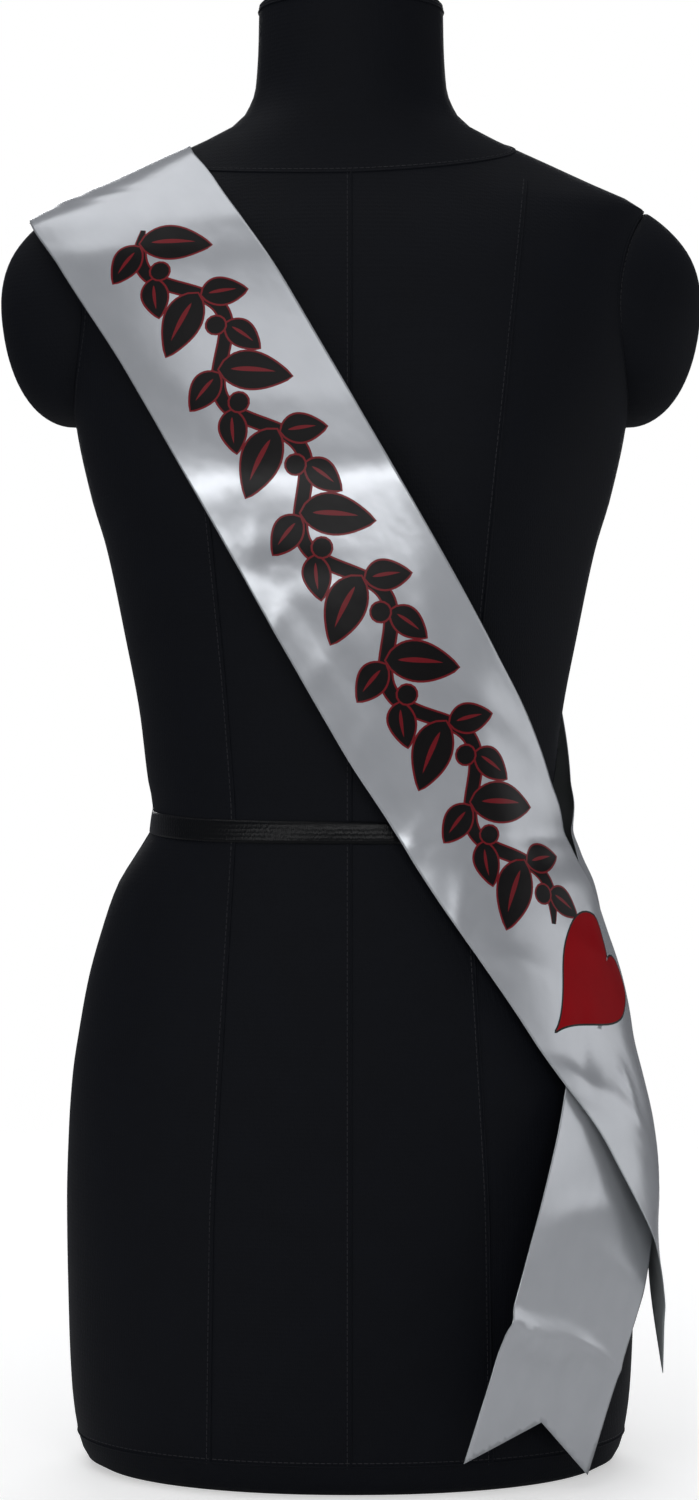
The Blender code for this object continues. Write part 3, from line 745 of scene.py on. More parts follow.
def vine_print(settings):
    """Leafy vine along the band, then a heart: a list of (finish, outline) in the order they are laid."""
    start = settings.vine_start
    period = settings.vine_period
    swing = settings.vine_swing
    edging = settings.edging_width
    size = settings.leaf_length
    bends = settings.vine_bends
    end = start + period * bends / 2

    def wave(along):
        return swing * np.sin(2 * np.pi * (along - start) / period)

    along = np.linspace(start, end, STEM_STEPS * bends)
    slope = np.gradient(wave(along), along)
    normal = unit(np.stack([-slope, np.ones_like(slope)], axis=-1))
    middle = np.stack([along, wave(along)], axis=-1)
    taper = np.minimum(1.0, np.minimum(along - start, end - along) / STEM_TAPER + STEM_TIP)[:, None]
    stem = settings.stem_width / 2
    layers = []
    for finish, half in (("edging", stem + edging), ("ink", stem)):
        upper = middle + normal * half * taper
        lower = middle - normal * half * taper
        layers.append((finish, np.concatenate([lower, upper[::-1]])))
    shapes = []
    veins = []
    for i in range(bends):
        hand = 1 if i % 2 == 0 else -1
        crest = start + period * (i + 0.5) / 2
        for leaf in LEAVES:
            root = crest + leaf.lag
            length = size * leaf.length
            width = size * leaf.width
            bend = size * leaf.bend
            outline = leaf_outline(length, width, bend)
            vein = leaf_outline(length * VEIN_LENGTH, width * VEIN_WIDTH, bend * VEIN_BEND)
            vein[:, 0] += length * VEIN_START
            for loop, kept in ((outline, shapes), (vein, veins)):
                flipped = loop * np.array([1.0, hand])
                if hand < 0:
                    flipped = flipped[::-1]
                kept.append(placed(flipped, (root, float(wave(root))), leaf.turn * hand))
        berry = (crest + BERRY_LAG, -hand * (swing - BERRY_REACH))
        shapes.append(placed(round_outline(settings.berry_radius), berry, 0.0))
    for loop in shapes:
        layers += [("edging", swell(loop, edging)), ("ink", loop)]
    layers += [("edging", loop) for loop in veins]
    heart = heart_outline(settings.heart_width, settings.heart_tallness)
    heart = placed(heart, (settings.heart_place, settings.heart_side), settings.heart_turn)
    layers.append(("ink", swell(heart, edging)))
    layers.append(("heart", heart))
    return layers


def flat_pattern(strip, layers, settings):
    """Cut the ribbon's flat pattern along its edges and its print. Gives points, triangles and finishes."""
    half = strip.width / 2
    step = settings.cloth_step
    columns = max(8, 2 * round(half / step))
    across = np.linspace(-half, half, columns + 1)
    selvedge = half - settings.selvedge_width
    first = strip.crown(across)
    last = strip.reach(across)
    rows = round(strip.plan.length / step)
    start_line = np.stack([first, across], axis=-1)
    end_line = np.stack([last, across], axis=-1)[::-1]
    right = np.stack([np.linspace(first[-1], last[-1], rows), np.full(rows, half)], axis=-1)[1:-1]
    left = np.stack([np.linspace(last[0], first[0], rows), np.full(rows, -half)], axis=-1)[1:-1]
    border = np.concatenate([start_line, right, end_line, left])
    loops = [border] + [loop for _, loop in layers]
    s, t = np.meshgrid(np.arange(first.min(), last.max(), step), across[1:-1], indexing="ij")
    grid = np.stack([s.ravel(), t.ravel()], axis=-1)
    grid = grid[inside(grid, border)]
    marks = np.concatenate(loops)
    clear = np.ones(len(grid), bool)
    for part in np.array_split(np.arange(len(grid)), 12):
        gaps = np.linalg.norm(grid[part][:, None] - marks[None], axis=-1).min(axis=1)
        clear[part] = gaps > GRID_CLEARANCE * step
    grid = grid[clear]
    run = np.linspace(first.max() + step, last.min() - step, rows)
    lines = [np.stack([run, np.full(rows, y)], axis=-1) for y in (-selvedge, selvedge)]
    verts = [tuple(p) for p in np.concatenate([grid] + lines + loops)]
    edges = []
    offset = len(grid) + sum(len(line) for line in lines)
    for loop in loops:
        count = len(loop)
        edges += [(offset + i, offset + (i + 1) % count) for i in range(count)]
        offset += count
    cut = delaunay_2d_cdt([Vector(p) for p in verts], edges, [], 0, 1e-7, False)
    points = np.array([tuple(p) for p in cut[0]])
    faces = np.array([tuple(f) for f in cut[2] if len(f) == 3])
    centres = points[faces].mean(axis=1)
    keep = inside(centres, border)
    faces = faces[keep]
    centres = centres[keep]
    finish = np.full(len(faces), 0)
    order = [row.part for row in RIBBON_FINISHES]
    for name, loop in layers:
        finish[inside(centres, loop)] = order.index(name)
    return points, faces, finish


# Materials


def satin_weave(material, settings):
    """Satin's warp floats as fine lines along the ribbon, with slow slubs. Gives weave and slub sockets.

    Real floats lie 0.1 mm apart. They are drawn thread_spacing apart so that they show close to."""
    place = add_node(material, "ShaderNodeUVMap", {"uv_map": "flat_cut"}).outputs["UV"]
    threads = add_node(
        material,
        "ShaderNodeMapping",
        {"Scale": (1.0 / settings.float_length, 1.0 / settings.thread_spacing, 1.0)},
        {"Vector": place},
    ).outputs["Vector"]
    floats = add_node(
        material, "ShaderNodeTexNoise", {"Scale": 1.0, "Detail": 1.0, "Roughness": 0.5}, {"Vector": threads}
    ).outputs["Fac"]
    slow = add_node(
        material,
        "ShaderNodeMapping",
        {"Scale": (1.0 / PUCKER_LENGTH, 1.0 / PUCKER_WIDTH, 1.0)},
        {"Vector": place},
    ).outputs["Vector"]
    slubs = add_node(
        material, "ShaderNodeTexNoise", {"Scale": 1.0, "Detail": 2.0, "Roughness": 0.45}, {"Vector": slow}
    ).outputs["Fac"]
    return place, floats, slubs


def ribbon_material(name, finish, settings):
    """Woven ribbon finish. Its lines follow the flat cut's UV map, which is in metres."""
    material, output = new_material(name)
    place, floats, slubs = satin_weave(material, settings)
    colour = linear(getattr(settings, finish.part))
    darker = tuple(c * (1 - finish.dye_spread) for c in colour[:3]) + (1.0,)
    lighter = tuple(min(1.0, c * (1 + finish.dye_spread)) for c in colour[:3]) + (1.0,)
    tint = add_node(
        material,
        "ShaderNodeMix",
        {"data_type": "RGBA", 6: darker, 7: lighter},
        {0: slubs},
    ).outputs[2]
    if finish.firm_edge:
        across = add_node(material, "ShaderNodeSeparateXYZ", links={0: place}).outputs["Y"]
        aside = add_node(material, "ShaderNodeMath", {"operation": "ABSOLUTE"}, {0: across}).outputs[0]
        half = settings.width / 2
        firm = add_node(
            material,
            "ShaderNodeMapRange",
            {
                1: half - settings.selvedge_width,
                2: half - settings.selvedge_width * SELVEDGE_BLEND,
                3: 0.0,
                4: SELVEDGE_COVER,
            },
            {0: aside},
        ).outputs[0]
        tint = add_node(
            material,
            "ShaderNodeMix",
            {"data_type": "RGBA", 7: tuple(c * SELVEDGE_SHADE for c in colour[:3]) + (1.0,)},
            {0: firm, 6: tint},
        ).outputs[2]
    gloss = add_node(
        material,
        "ShaderNodeMapRange",
        {3: finish.roughness - GLOSS_SPREAD, 4: finish.roughness + GLOSS_SPREAD},
        {0: floats},
    ).outputs[0]
    puckers = add_node(
        material, "ShaderNodeBump", {"Distance": settings.pucker_height}, {"Height": slubs}
    ).outputs["Normal"]
    relief = add_node(
        material,
        "ShaderNodeBump",
        {"Distance": settings.weave_height},
        {"Height": floats, "Normal": puckers},
    ).outputs["Normal"]
    tangent = add_node(
        material, "ShaderNodeTangent", {"direction_type": "UV_MAP", "uv_map": "flat_cut"}
    ).outputs["Tangent"]
    shader = add_node(
        material,
        "ShaderNodeBsdfPrincipled",
        {
            "Metallic": finish.metallic,
            "Specular IOR Level": finish.specular,
            "Anisotropic": 0.6,
            "Anisotropic Rotation": 0.25,
        },
        {"Base Color": tint, "Roughness": gloss, "Normal": relief, "Tangent": tangent},
    )
    material.node_tree.links.new(shader.outputs["BSDF"], output.inputs["Surface"])
    return material


def jersey_material(name, base, settings, roughness=0.70, specular=0.12):
    """Matt cotton jersey drawn tight over padding: fine ribs, and a faint mottle from lint and rubbing.

    Real ribs are 0.6 mm apart. They are drawn knit_spacing apart so that they show close to."""
    material, output = new_material(name)
    place = add_node(material, "ShaderNodeTexCoord").outputs["Object"]
    stretched = add_node(
        material,
        "ShaderNodeMapping",
        {"Scale": (1.0, 1.0, KNIT_STRETCH)},
        {"Vector": place},
    ).outputs["Vector"]
    knit = add_node(
        material,
        "ShaderNodeTexVoronoi",
        {"Scale": 1.0 / settings.knit_spacing, "Randomness": 0.35},
        {"Vector": stretched},
    ).outputs["Distance"]
    mottle = add_node(
        material,
        "ShaderNodeTexNoise",
        {"Scale": MOTTLE_SCALE, "Detail": 4.0, "Roughness": 0.6},
        {"Vector": place},
    ).outputs["Fac"]
    relief = add_node(
        material, "ShaderNodeBump", {"Distance": settings.knit_height}, {"Height": knit}
    ).outputs["Normal"]
    colour = linear(base)
    tint = add_node(
        material,
        "ShaderNodeMix",
        {
            "data_type": "RGBA",
            6: tuple(c * MOTTLE_DARK for c in colour[:3]) + (1.0,),
            7: tuple(c * MOTTLE_LIGHT for c in colour[:3]) + (1.0,),
        },
        {0: mottle},
    ).outputs[2]
    shader = add_node(
        material,
        "ShaderNodeBsdfPrincipled",
        {
            "Roughness": roughness,
            "Specular IOR Level": specular,
            "Sheen Weight": settings.lint,
            "Sheen Roughness": 0.6,
            "Sheen Tint": linear(LINT),
        },
        {"Base Color": tint, "Normal": relief},
    )
    material.node_tree.links.new(shader.outputs["BSDF"], output.inputs["Surface"])
    return material


def kept_material(name, make, *words):
    """The material of that name, made once."""
    return bpy.data.materials.get(name) or make(name, *words)


# Meshes


def add_object(name, mesh):
    """Object at the origin around a finished mesh."""
    item = bpy.data.objects.new(name, mesh)
    bpy.context.scene.collection.objects.link(item)
    return item


def mesh_of(name, points, faces, materials, smooth=True):
    mesh = bpy.data.meshes.new(name)
    mesh.from_pydata([tuple(p) for p in points], [], [tuple(int(i) for i in f) for f in faces])
    for material in materials:
        mesh.materials.append(material)
    if smooth:
        mesh.shade_smooth()
    return mesh


def modified(item, kind, **settings):
    """Add a modifier with its settings and apply it."""
    modifier = item.modifiers.new(kind.title(), kind)
    for key, value in settings.items():
        setattr(modifier, key, value)
    return baked(item)


def baked(item):
    """Turn an object's modifiers into its mesh."""
    bpy.context.view_layer.update()
    evaluated = item.evaluated_get(bpy.context.evaluated_depsgraph_get())
    mesh = bpy.data.meshes.new_from_object(evaluated)
    item.modifiers.clear()
    old = item.data
    item.data = mesh
    mesh.name = item.name
    bpy.data.meshes.remove(old)
    return item


def ribbon_length(name, strip, folds, layers, settings, materials):
    """One length of printed satin: flat pattern laid on the drape with its folds, and a thin wall."""
    flat, faces, finish = flat_pattern(strip, layers, settings)
    along = flat[:, 0]
    across = flat[:, 1]
    places, normals = strip.at(along, across)
    fade = ease(along, FOLDS_BEGIN, FOLDS_FULL)
    lift = strip.lift(along, across) + CLOTH_FACE + folded(folds, along, across) * fade
    rim = np.abs(across) - (strip.width / 2 - settings.selvedge_width)
    lift = lift + SELVEDGE_RISE * ease(rim, -SELVEDGE_SLOPE, 0.0)
    lift = np.maximum(lift, LOWEST_FACE)
    points = places + normals * lift[:, None]
    corners = points[faces]
    facing = np.cross(corners[:, 1] - corners[:, 0], corners[:, 2] - corners[:, 0])
    wrong = np.sum(facing * normals[faces[:, 0]], axis=1) < 0.0
    faces[wrong] = faces[wrong][:, ::-1]
    mesh = mesh_of(name, points, faces, materials)
    mesh.polygons.foreach_set("material_index", finish.astype(np.int32))
    uv = mesh.uv_layers.new(name="flat_cut")
    corner_verts = np.zeros(len(mesh.loops), np.int32)
    mesh.loops.foreach_get("vertex_index", corner_verts)
    uv.data.foreach_set("uv", flat[corner_verts].astype(np.float32).ravel())
    item = add_object(name, mesh)
    last = len(materials) - 1
    modified(
        item,
        "SOLIDIFY",
        thickness=settings.thickness,
        offset=-1.0,
        use_even_offset=False,
        use_rim=True,
        material_offset=last,
        material_offset_rim=last,
    )
    return item


def shell_of_rings(name, rings, materials):
    """Mesh through rings of points, closed round and capped at both ends."""
    count = rings.shape[1]
    points = rings.reshape(-1, 3)
    faces = []
    for i in range(len(rings) - 1):
        for k in range(count):
            after = (k + 1) % count
            faces.append((i * count + k, i * count + after, (i + 1) * count + after, (i + 1) * count + k))
    faces.append(tuple(reversed(range(count))))
    faces.append(tuple(range((len(rings) - 1) * count, len(rings) * count)))
    mesh = mesh_of(name, points, faces, materials)
    mesh.set_sharp_from_angle(angle=math.radians(FORM_SHARP))
    return mesh


def side_of_form(y, height):
    """Half width of the form at a depth and a height."""
    depth = np.where(y > 0.0, form_back(height), form_front(height))
    power = form_squareness(height)
    return form_half_width(height) * (1 - np.minimum(0.99, np.abs(y) / depth) ** power) ** (1 / power)


def pad_points(share, angle, hand):
    """Points on the arm pad's outer face, from its middle (share 0) to its rim (share 1)."""
    share, angle = np.broadcast_arrays(np.asarray(share, float), np.asarray(angle, float))
    y = PAD_CENTRE_Y + PAD_HALF_DEPTH * share * np.cos(angle)
    z = PAD_CENTRE_Z + PAD_HALF_HEIGHT * share * np.sin(angle)
    fall = PAD_FALL + PAD_TOP_SLOPE * np.sin(angle)
    rise = PAD_RIM + PAD_REACH * (1 - np.minimum(1.0, share) ** PAD_ROUNDNESS) ** fall
    x = side_of_form(y, z) + PAD_GAP + rise
    return np.stack([hand * x, y, z], axis=-1)


def path_mesh(name, lines):
    """Mesh of bare edges through lists of points. Each is (points, closed)."""
    points = np.concatenate([line for line, _ in lines])
    edges = []
    start = 0
    for line, closed in lines:
        count = len(line)
        edges += [(start + i, start + (i + 1) % count) for i in range(count if closed else count - 1)]
        start += count
    mesh = bpy.data.meshes.new(name)
    mesh.from_pydata([tuple(p) for p in points], edges, [])
    return mesh


# Geometry Nodes: a seam's ridge and its stitches


def node_group(name, sizes):
    """New node group with geometry in and out, number inputs of those names and one for a finish."""
    tree = bpy.data.node_groups.new(name, "GeometryNodeTree")
    tree.interface.new_socket("Geometry", in_out="INPUT", socket_type="NodeSocketGeometry")
    for size in sizes:
        tree.interface.new_socket(size, in_out="INPUT", socket_type="NodeSocketFloat")
    tree.interface.new_socket("Finish", in_out="INPUT", socket_type="NodeSocketMaterial")
    tree.interface.new_socket("Geometry", in_out="OUTPUT", socket_type="NodeSocketGeometry")
    given = add_node(tree, "NodeGroupInput").outputs
    curve = add_node(tree, "GeometryNodeMeshToCurve", links={"Mesh": given["Geometry"]}).outputs["Curve"]
    return tree, given, curve


def finish_group(tree, geometry, finish):
    """End a node group in Realize Instances and Set Material."""
    real = add_node(tree, "GeometryNodeRealizeInstances", links={"Geometry": geometry}).outputs[0]
    done = add_node(tree, "GeometryNodeSetMaterial", links={"Geometry": real, "Material": finish}).outputs[0]
    add_node(tree, "NodeGroupOutput", links={0: done})
    return tree


def ridge_group():
    """Node group that turns bare edges into the low round ridge of a closed seam."""
    tree, given, curve = node_group("Seam ridge", ["Radius"])
    profile = add_node(
        tree, "GeometryNodeCurvePrimitiveCircle", {"Resolution": 6}, {"Radius": given["Radius"]}
    ).outputs["Curve"]
    ridge = add_node(
        tree, "GeometryNodeCurveToMesh", {"Fill Caps": True}, {"Curve": curve, "Profile Curve": profile}
    ).outputs["Mesh"]
    smooth = add_node(tree, "GeometryNodeSetShadeSmooth", links={"Geometry": ridge}).outputs["Geometry"]
    return finish_group(tree, smooth, given["Finish"])


def stitch_group():
    """Node group that lays stitches of thread along bare edges."""
    tree, given, curve = node_group("Stitches", ["Spacing", "Length", "Radius"])
    places = add_node(
        tree, "GeometryNodeCurveToPoints", {"mode": "LENGTH"}, {"Curve": curve, "Length": given["Spacing"]}
    ).outputs
    stitch = add_node(
        tree,
        "GeometryNodeMeshCylinder",
        {"Vertices": 5},
        {"Radius": given["Radius"], "Depth": given["Length"]},
    ).outputs["Mesh"]
    laid = add_node(
        tree,
        "GeometryNodeInstanceOnPoints",
        links={"Points": places["Points"], "Instance": stitch, "Rotation": places["Rotation"]},
    ).outputs["Instances"]
    return finish_group(tree, laid, given["Finish"])


def grown(name, lines, group, values):
    """Object whose lines a node group has turned into solid pieces."""
    item = add_object(name, path_mesh(name, lines))
    modifier = item.modifiers.new(group.name, "NODES")
    modifier.node_group = group
    for socket in group.interface.items_tree:
        if socket.in_out == "INPUT" and socket.name in values:
            modifier[socket.identifier] = values[socket.name]
    item.update_tag()
    return baked(item)


# Lines on the form


def ring_line(height_of, count=160):
    """Closed line round the form at a height for each angle."""
    angle = np.linspace(0.0, 2 * np.pi, count, endpoint=False)
    return form_points(angle, height_of(angle))


def form_normals(angle, height):
    """Outward normals of the form at angles and heights."""
    turn = 0.002
    rise = 0.0005
    round_it = form_points(angle + turn, height) - form_points(angle - turn, height)
    up = form_points(angle, height + rise) - form_points(angle, height - rise)
    return unit(np.cross(round_it, up))


def neck_height(angle):
    """Height of the neck seam at angles round the form."""
    share = 0.5 + 0.5 * np.sin(angle)
    rise = (NECK_SEAM_BACK - NECK_SEAM_FRONT) * share ** 0.8
    return NECK_SEAM_FRONT + rise + NECK_SEAM_TILT * np.cos(angle)


def tape_height(angle):
    """Middle of the waist tape: a little lower in front, where it dips."""
    return TAPE_SIDE - (TAPE_SIDE - TAPE_FRONT) * np.clip(-np.sin(angle), 0.0, 1.0) ** 0.7


def face_line(distances, face, low, high, count=110):
    """Seam up the front (face -1) or back (face 1). distances are (height, distance from the middle)."""
    heights, spreads = zip(*distances)
    height = np.linspace(low, high, count)
    spread = np.interp(height, heights, spreads)
    for _ in range(6):
        spread[1:-1] = (spread[:-2] + spread[1:-1] + spread[2:]) / 3
    return form_face_points(spread, height, face)


# Settings


class RibbonSettings(bpy.types.PropertyGroup):
    width: FloatProperty(name="Width", description="Woven width of the ribbon", default=0.1016, unit="LENGTH")
    thickness: FloatProperty(
        name="Cloth thickness", description="Thickness of the satin", default=0.0004, unit="LENGTH"
    )
    cloth_step: FloatProperty(
        name="Mesh step", description="Spacing of the cloth's mesh", default=0.0034, unit="LENGTH"
    )
    selvedge_width: FloatProperty(
        name="Selvedge", description="Width of the firm woven edge", default=0.0012, unit="LENGTH"
    )
    thread_spacing: FloatProperty(
        name="Thread spacing", description="Drawn spacing of the warp floats", default=0.0006, unit="LENGTH"
    )
    float_length: FloatProperty(
        name="Float length", description="Drawn length of one warp float", default=0.0060, unit="LENGTH"
    )
    weave_height: FloatProperty(
        name="Weave relief", description="Height of the warp floats", default=0.0000015, unit="LENGTH"
    )
    pucker_height: FloatProperty(
        name="Puckers", description="Height of the satin's small puckers", default=0.0003, unit="LENGTH"
    )
    satin: StringProperty(name="Satin", description="Face of the satin, sRGB hex", default="b3b6bb")
    reverse: StringProperty(name="Reverse", description="Back of the satin, sRGB hex", default="959a9c")
    ink: StringProperty(name="Ink", description="Printed ink, sRGB hex", default="070506")
    edging: StringProperty(name="Edging", description="Thin line round the print, sRGB hex", default="6c0714")
    heart: StringProperty(name="Heart", description="Printed heart, sRGB hex", default="8c0610")


class PrintSettings(bpy.types.PropertyGroup):
    vine_start: FloatProperty(
        name="Vine start", description="Along the band from the shoulder", default=0.086, unit="LENGTH"
    )
    vine_period: FloatProperty(
        name="Wave length", description="Length of one whole wave of the stem", default=0.0925, unit="LENGTH"
    )
    vine_bends: IntProperty(name="Bends", description="Half waves of the stem", default=10, min=2)
    vine_swing: FloatProperty(
        name="Swing", description="How far the stem swings from the middle", default=0.0120, unit="LENGTH"
    )
    stem_width: FloatProperty(name="Stem", description="Width of the stem", default=0.0065, unit="LENGTH")
    leaf_length: FloatProperty(
        name="Leaf", description="Length of the largest leaves", default=0.040, unit="LENGTH"
    )
    berry_radius: FloatProperty(name="Berry", description="Radius of a berry", default=0.0052, unit="LENGTH")
    edging_width: FloatProperty(
        name="Edging", description="Width of the line round the print", default=0.0011, unit="LENGTH"
    )
    heart_place: FloatProperty(
        name="Heart place", description="Along the band from the shoulder", default=0.590, unit="LENGTH"
    )
    heart_side: FloatProperty(
        name="Heart side", description="Across the ribbon from its middle", default=-0.008, unit="LENGTH"
    )
    heart_width: FloatProperty(
        name="Heart width", description="Width of the heart", default=0.066, unit="LENGTH"
    )
    heart_tallness: FloatProperty(name="Heart tallness", description="Stretch to its point", default=1.28)
    heart_turn: FloatProperty(name="Heart turn", description="Turn on the ribbon, in degrees", default=-8.0)


class FormSettings(bpy.types.PropertyGroup):
    sides: IntProperty(name="Sides", description="Faces round the form", default=176, min=32)
    ring_step: FloatProperty(name="Ring step", description="Height of one ring", default=0.006, unit="LENGTH")
    knit_spacing: FloatProperty(
        name="Knit", description="Drawn spacing of the knit's ribs", default=0.0011, unit="LENGTH"
    )
    knit_height: FloatProperty(
        name="Knit relief", description="Height of the knit's ribs", default=0.0002, unit="LENGTH"
    )
    lint: FloatProperty(name="Lint", description="Pale bloom of worn jersey", default=0.02, subtype="FACTOR")
    jersey: StringProperty(name="Jersey", description="Cover of the form, sRGB hex", default="04060c")
    seam_radius: FloatProperty(
        name="Seam ridge", description="Half the width of a closed seam", default=0.0007, unit="LENGTH"
    )
    stitch_spacing: FloatProperty(
        name="Stitch spacing", description="From stitch to stitch", default=0.0034, unit="LENGTH"
    )
    tape_width: FloatProperty(
        name="Waist tape", description="Width of the tape at the waist", default=0.0126, unit="LENGTH"
    )
    tape: StringProperty(name="Tape", description="Waist tape, sRGB hex", default="040507")


class StudioSettings(bpy.types.PropertyGroup):
    camera_distance: FloatProperty(
        name="Camera distance", description="From the form's middle", default=1.8, unit="LENGTH"
    )
    camera_height: FloatProperty(
        name="Camera height", description="Height of the lens", default=0.412, unit="LENGTH"
    )
    camera_side: FloatProperty(
        name="Camera side", description="Sideways place of the lens", default=-0.0009, unit="LENGTH"
    )
    lens: FloatProperty(name="Lens", description="Focal length in millimetres", default=74.1)
    window_power: FloatProperty(name="Window", description="Power of the low wide front light", default=9.5)
    top_power: FloatProperty(name="Top light", description="Power of the overhead light", default=13.5)
    fill_power: FloatProperty(name="Fill light", description="Power of the soft right light", default=6.5)
    surround: FloatProperty(name="Surround", description="Strength of the room's even light", default=0.125)
    floor: StringProperty(name="Floor", description="Pale floor, sRGB hex", default="e4e4e4")
    floor_glow: FloatProperty(name="Floor glow", description="Brightening of the seen floor", default=0.6)


# Operators


class SASH_OT_form(bpy.types.Operator):
    """Padded body and arm caps of the form, under tight black jersey"""

    bl_idname = "sash.form"
    bl_label = "Build the Form"

    def execute(self, context):
        settings = context.scene.sash_form
        # Cotton jersey stretched over foam: matt and near black, with a faint bloom where light grazes it
        jersey = kept_material("black cotton jersey", jersey_material, settings.jersey, settings)
        heights = []
        for low, high in zip(FORM, FORM[1:]):
            count = max(1, round((high.height - low.height) / settings.ring_step))
            heights += list(np.linspace(low.height, high.height, count, endpoint=False))
        heights = np.array(heights + [FORM[-1].height])
        angle = np.linspace(0.0, 2 * np.pi, settings.sides, endpoint=False)
        rings = form_points(angle[None, :], heights[:, None])
        torso = add_object("jersey_torso", shell_of_rings("jersey_torso", rings, [jersey]))
        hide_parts("form_torso")
        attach(torso, "root")
        for hand, side in ((1, "left"), (-1, "right")):
            name = "jersey_arm_pad_" + side
            pad = add_object(name, arm_pad_mesh(name, hand, [jersey]))
            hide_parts("form_arm_pad_" + side)
            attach(pad, "root")
        return {"FINISHED"}


def arm_pad_mesh(name, hand, materials, rings=20, sides=96):
    """Closed round-faced cap, its inner face on the form's side."""
    angle = np.linspace(0.0, 2 * np.pi, sides, endpoint=False)
    share = np.sin(0.5 * np.pi * np.arange(1, rings + 1) / rings)
    outer = pad_points(share[:, None], angle[None, :], hand)
    y = PAD_CENTRE_Y + PAD_HALF_DEPTH * share[:, None] * np.cos(angle)
    z = PAD_CENTRE_Z + PAD_HALF_HEIGHT * share[:, None] * np.sin(angle)
    inner = np.stack([hand * (side_of_form(y, z) + PAD_GAP), y, z], axis=-1)
    points = np.concatenate([outer.reshape(-1, 3), inner.reshape(-1, 3)])
    middle = np.array([PAD_CENTRE_Y, PAD_CENTRE_Z])
    flat = side_of_form(middle[0], middle[1]) + PAD_GAP
    tips = np.array([[hand * (flat + PAD_RIM + PAD_REACH), *middle], [hand * flat, *middle]])
    points = np.concatenate([points, tips])
    count = rings * sides
    tip = 2 * count
    faces = []
    for k in range(sides):
        after = (k + 1) % sides
        faces.append((tip, k, after))
        faces.append((tip + 1, count + after, count + k))
        for i in range(rings - 1):
            a, b = i * sides, (i + 1) * sides
            faces.append((a + k, b + k, b + after, a + after))
            faces.append((count + a + k, count + a + after, count + b + after, count + b + k))
        last = (rings - 1) * sides
        faces.append((last + k, count + last + k, count + last + after, last + after))
    if hand < 0:
        faces = [tuple(reversed(face)) for face in faces]
    mesh = mesh_of(name, points, faces, materials)
    mesh.set_sharp_from_angle(angle=math.radians(PAD_SHARP))
    return mesh


class SASH_OT_seams(bpy.types.Operator):
    """Closed seams of the jersey cover with their rows of stitches"""

    bl_idname = "sash.seams"
    bl_label = "Sew the Form's Seams"

    def execute(self, context):
        settings = context.scene.sash_form
        jersey = kept_material("black cotton jersey", jersey_material, settings.jersey, settings)
        # Polyester thread: a shade lighter and smoother than the jersey, so the stitches catch some light
        thread = kept_material("black polyester thread", jersey_material, BLACK_THREAD, settings, 0.55, 0.4)
        lines = [(ring_line(neck_height), True)]
        for height in (CAP_SEAM, HEM_SEAM):
            lines.append((ring_line(lambda angle, level=height: np.full_like(angle, level)), True))
        for face, spreads in ((-1, PRINCESS_FRONT), (1, PRINCESS_BACK)):
            top = NECK_SEAM_FRONT if face < 0 else NECK_SEAM_BACK
            lines.append((face_line(((0.0, 0.0), (1.0, 0.0)), face, HEM_SEAM, top), False))
            for hand in (-1, 1):
                spread = [(height, hand * x) for height, x in spreads]
                lines.append((face_line(spread, face, HEM_SEAM, spreads[-1][0]), False))
        pad_low = PAD_CENTRE_Z - PAD_HALF_HEIGHT
        for hand in (-1, 1):
            turn = 0.0 if hand > 0 else np.pi
            height = np.linspace(HEM_SEAM, pad_low, 80)
            lines.append((form_points(np.full_like(height, turn), height), False))
            angle = np.linspace(0.0, 2 * np.pi, 90, endpoint=False)
            y = PAD_CENTRE_Y + (PAD_HALF_DEPTH + PAD_SEAM_MARGIN) * np.cos(angle)
            z = PAD_CENTRE_Z + (PAD_HALF_HEIGHT + PAD_SEAM_MARGIN) * np.sin(angle)
            lines.append((np.stack([hand * side_of_form(y, z), y, z], axis=-1), True))
        ridge = {"Radius": settings.seam_radius, "Finish": jersey}
        seams = grown("form_seams", lines, ridge_group(), ridge)
        stitches = grown(
            "form_stitches",
            [(beside(line, closed), closed) for line, closed in lines],
            stitch_group(),
            {
                "Spacing": settings.stitch_spacing,
                "Length": settings.stitch_spacing * STITCH_SHARE,
                "Radius": THREAD_RADIUS,
                "Finish": thread,
            },
        )
        for item in (seams, stitches):
            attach(item, "root")
        return {"FINISHED"}


def beside(line, closed):
    """The line moved sideways over the form, for a row of stitches next to a seam."""
    if closed:
        along = unit(np.roll(line, -1, axis=0) - np.roll(line, 1, axis=0))
    else:
        along = unit(np.gradient(line, axis=0))
    aside = unit(np.cross(unit(slope_of(form_level, line)), along))
    return settled(form_level, line + aside * SEAM_TO_STITCHES, 5)


def form_level(points):
    """0 on the form's surface, below 0 inside it."""
    height = points[..., 2]
    depth = np.where(points[..., 1] > 0.0, form_back(height), form_front(height))
    ahead = np.minimum(1.0, np.maximum(0.0, -points[..., 1]) / BUST_FADE)
    y = points[..., 1] + np.where(points[..., 1] < 0.0, bust_rise(points[..., 0], height) * ahead, 0.0)
    power = form_squareness(height)
    total = (np.abs(points[..., 0]) / form_half_width(height)) ** power + (np.abs(y) / depth) ** power
    return total ** (1.0 / power) - 1.0


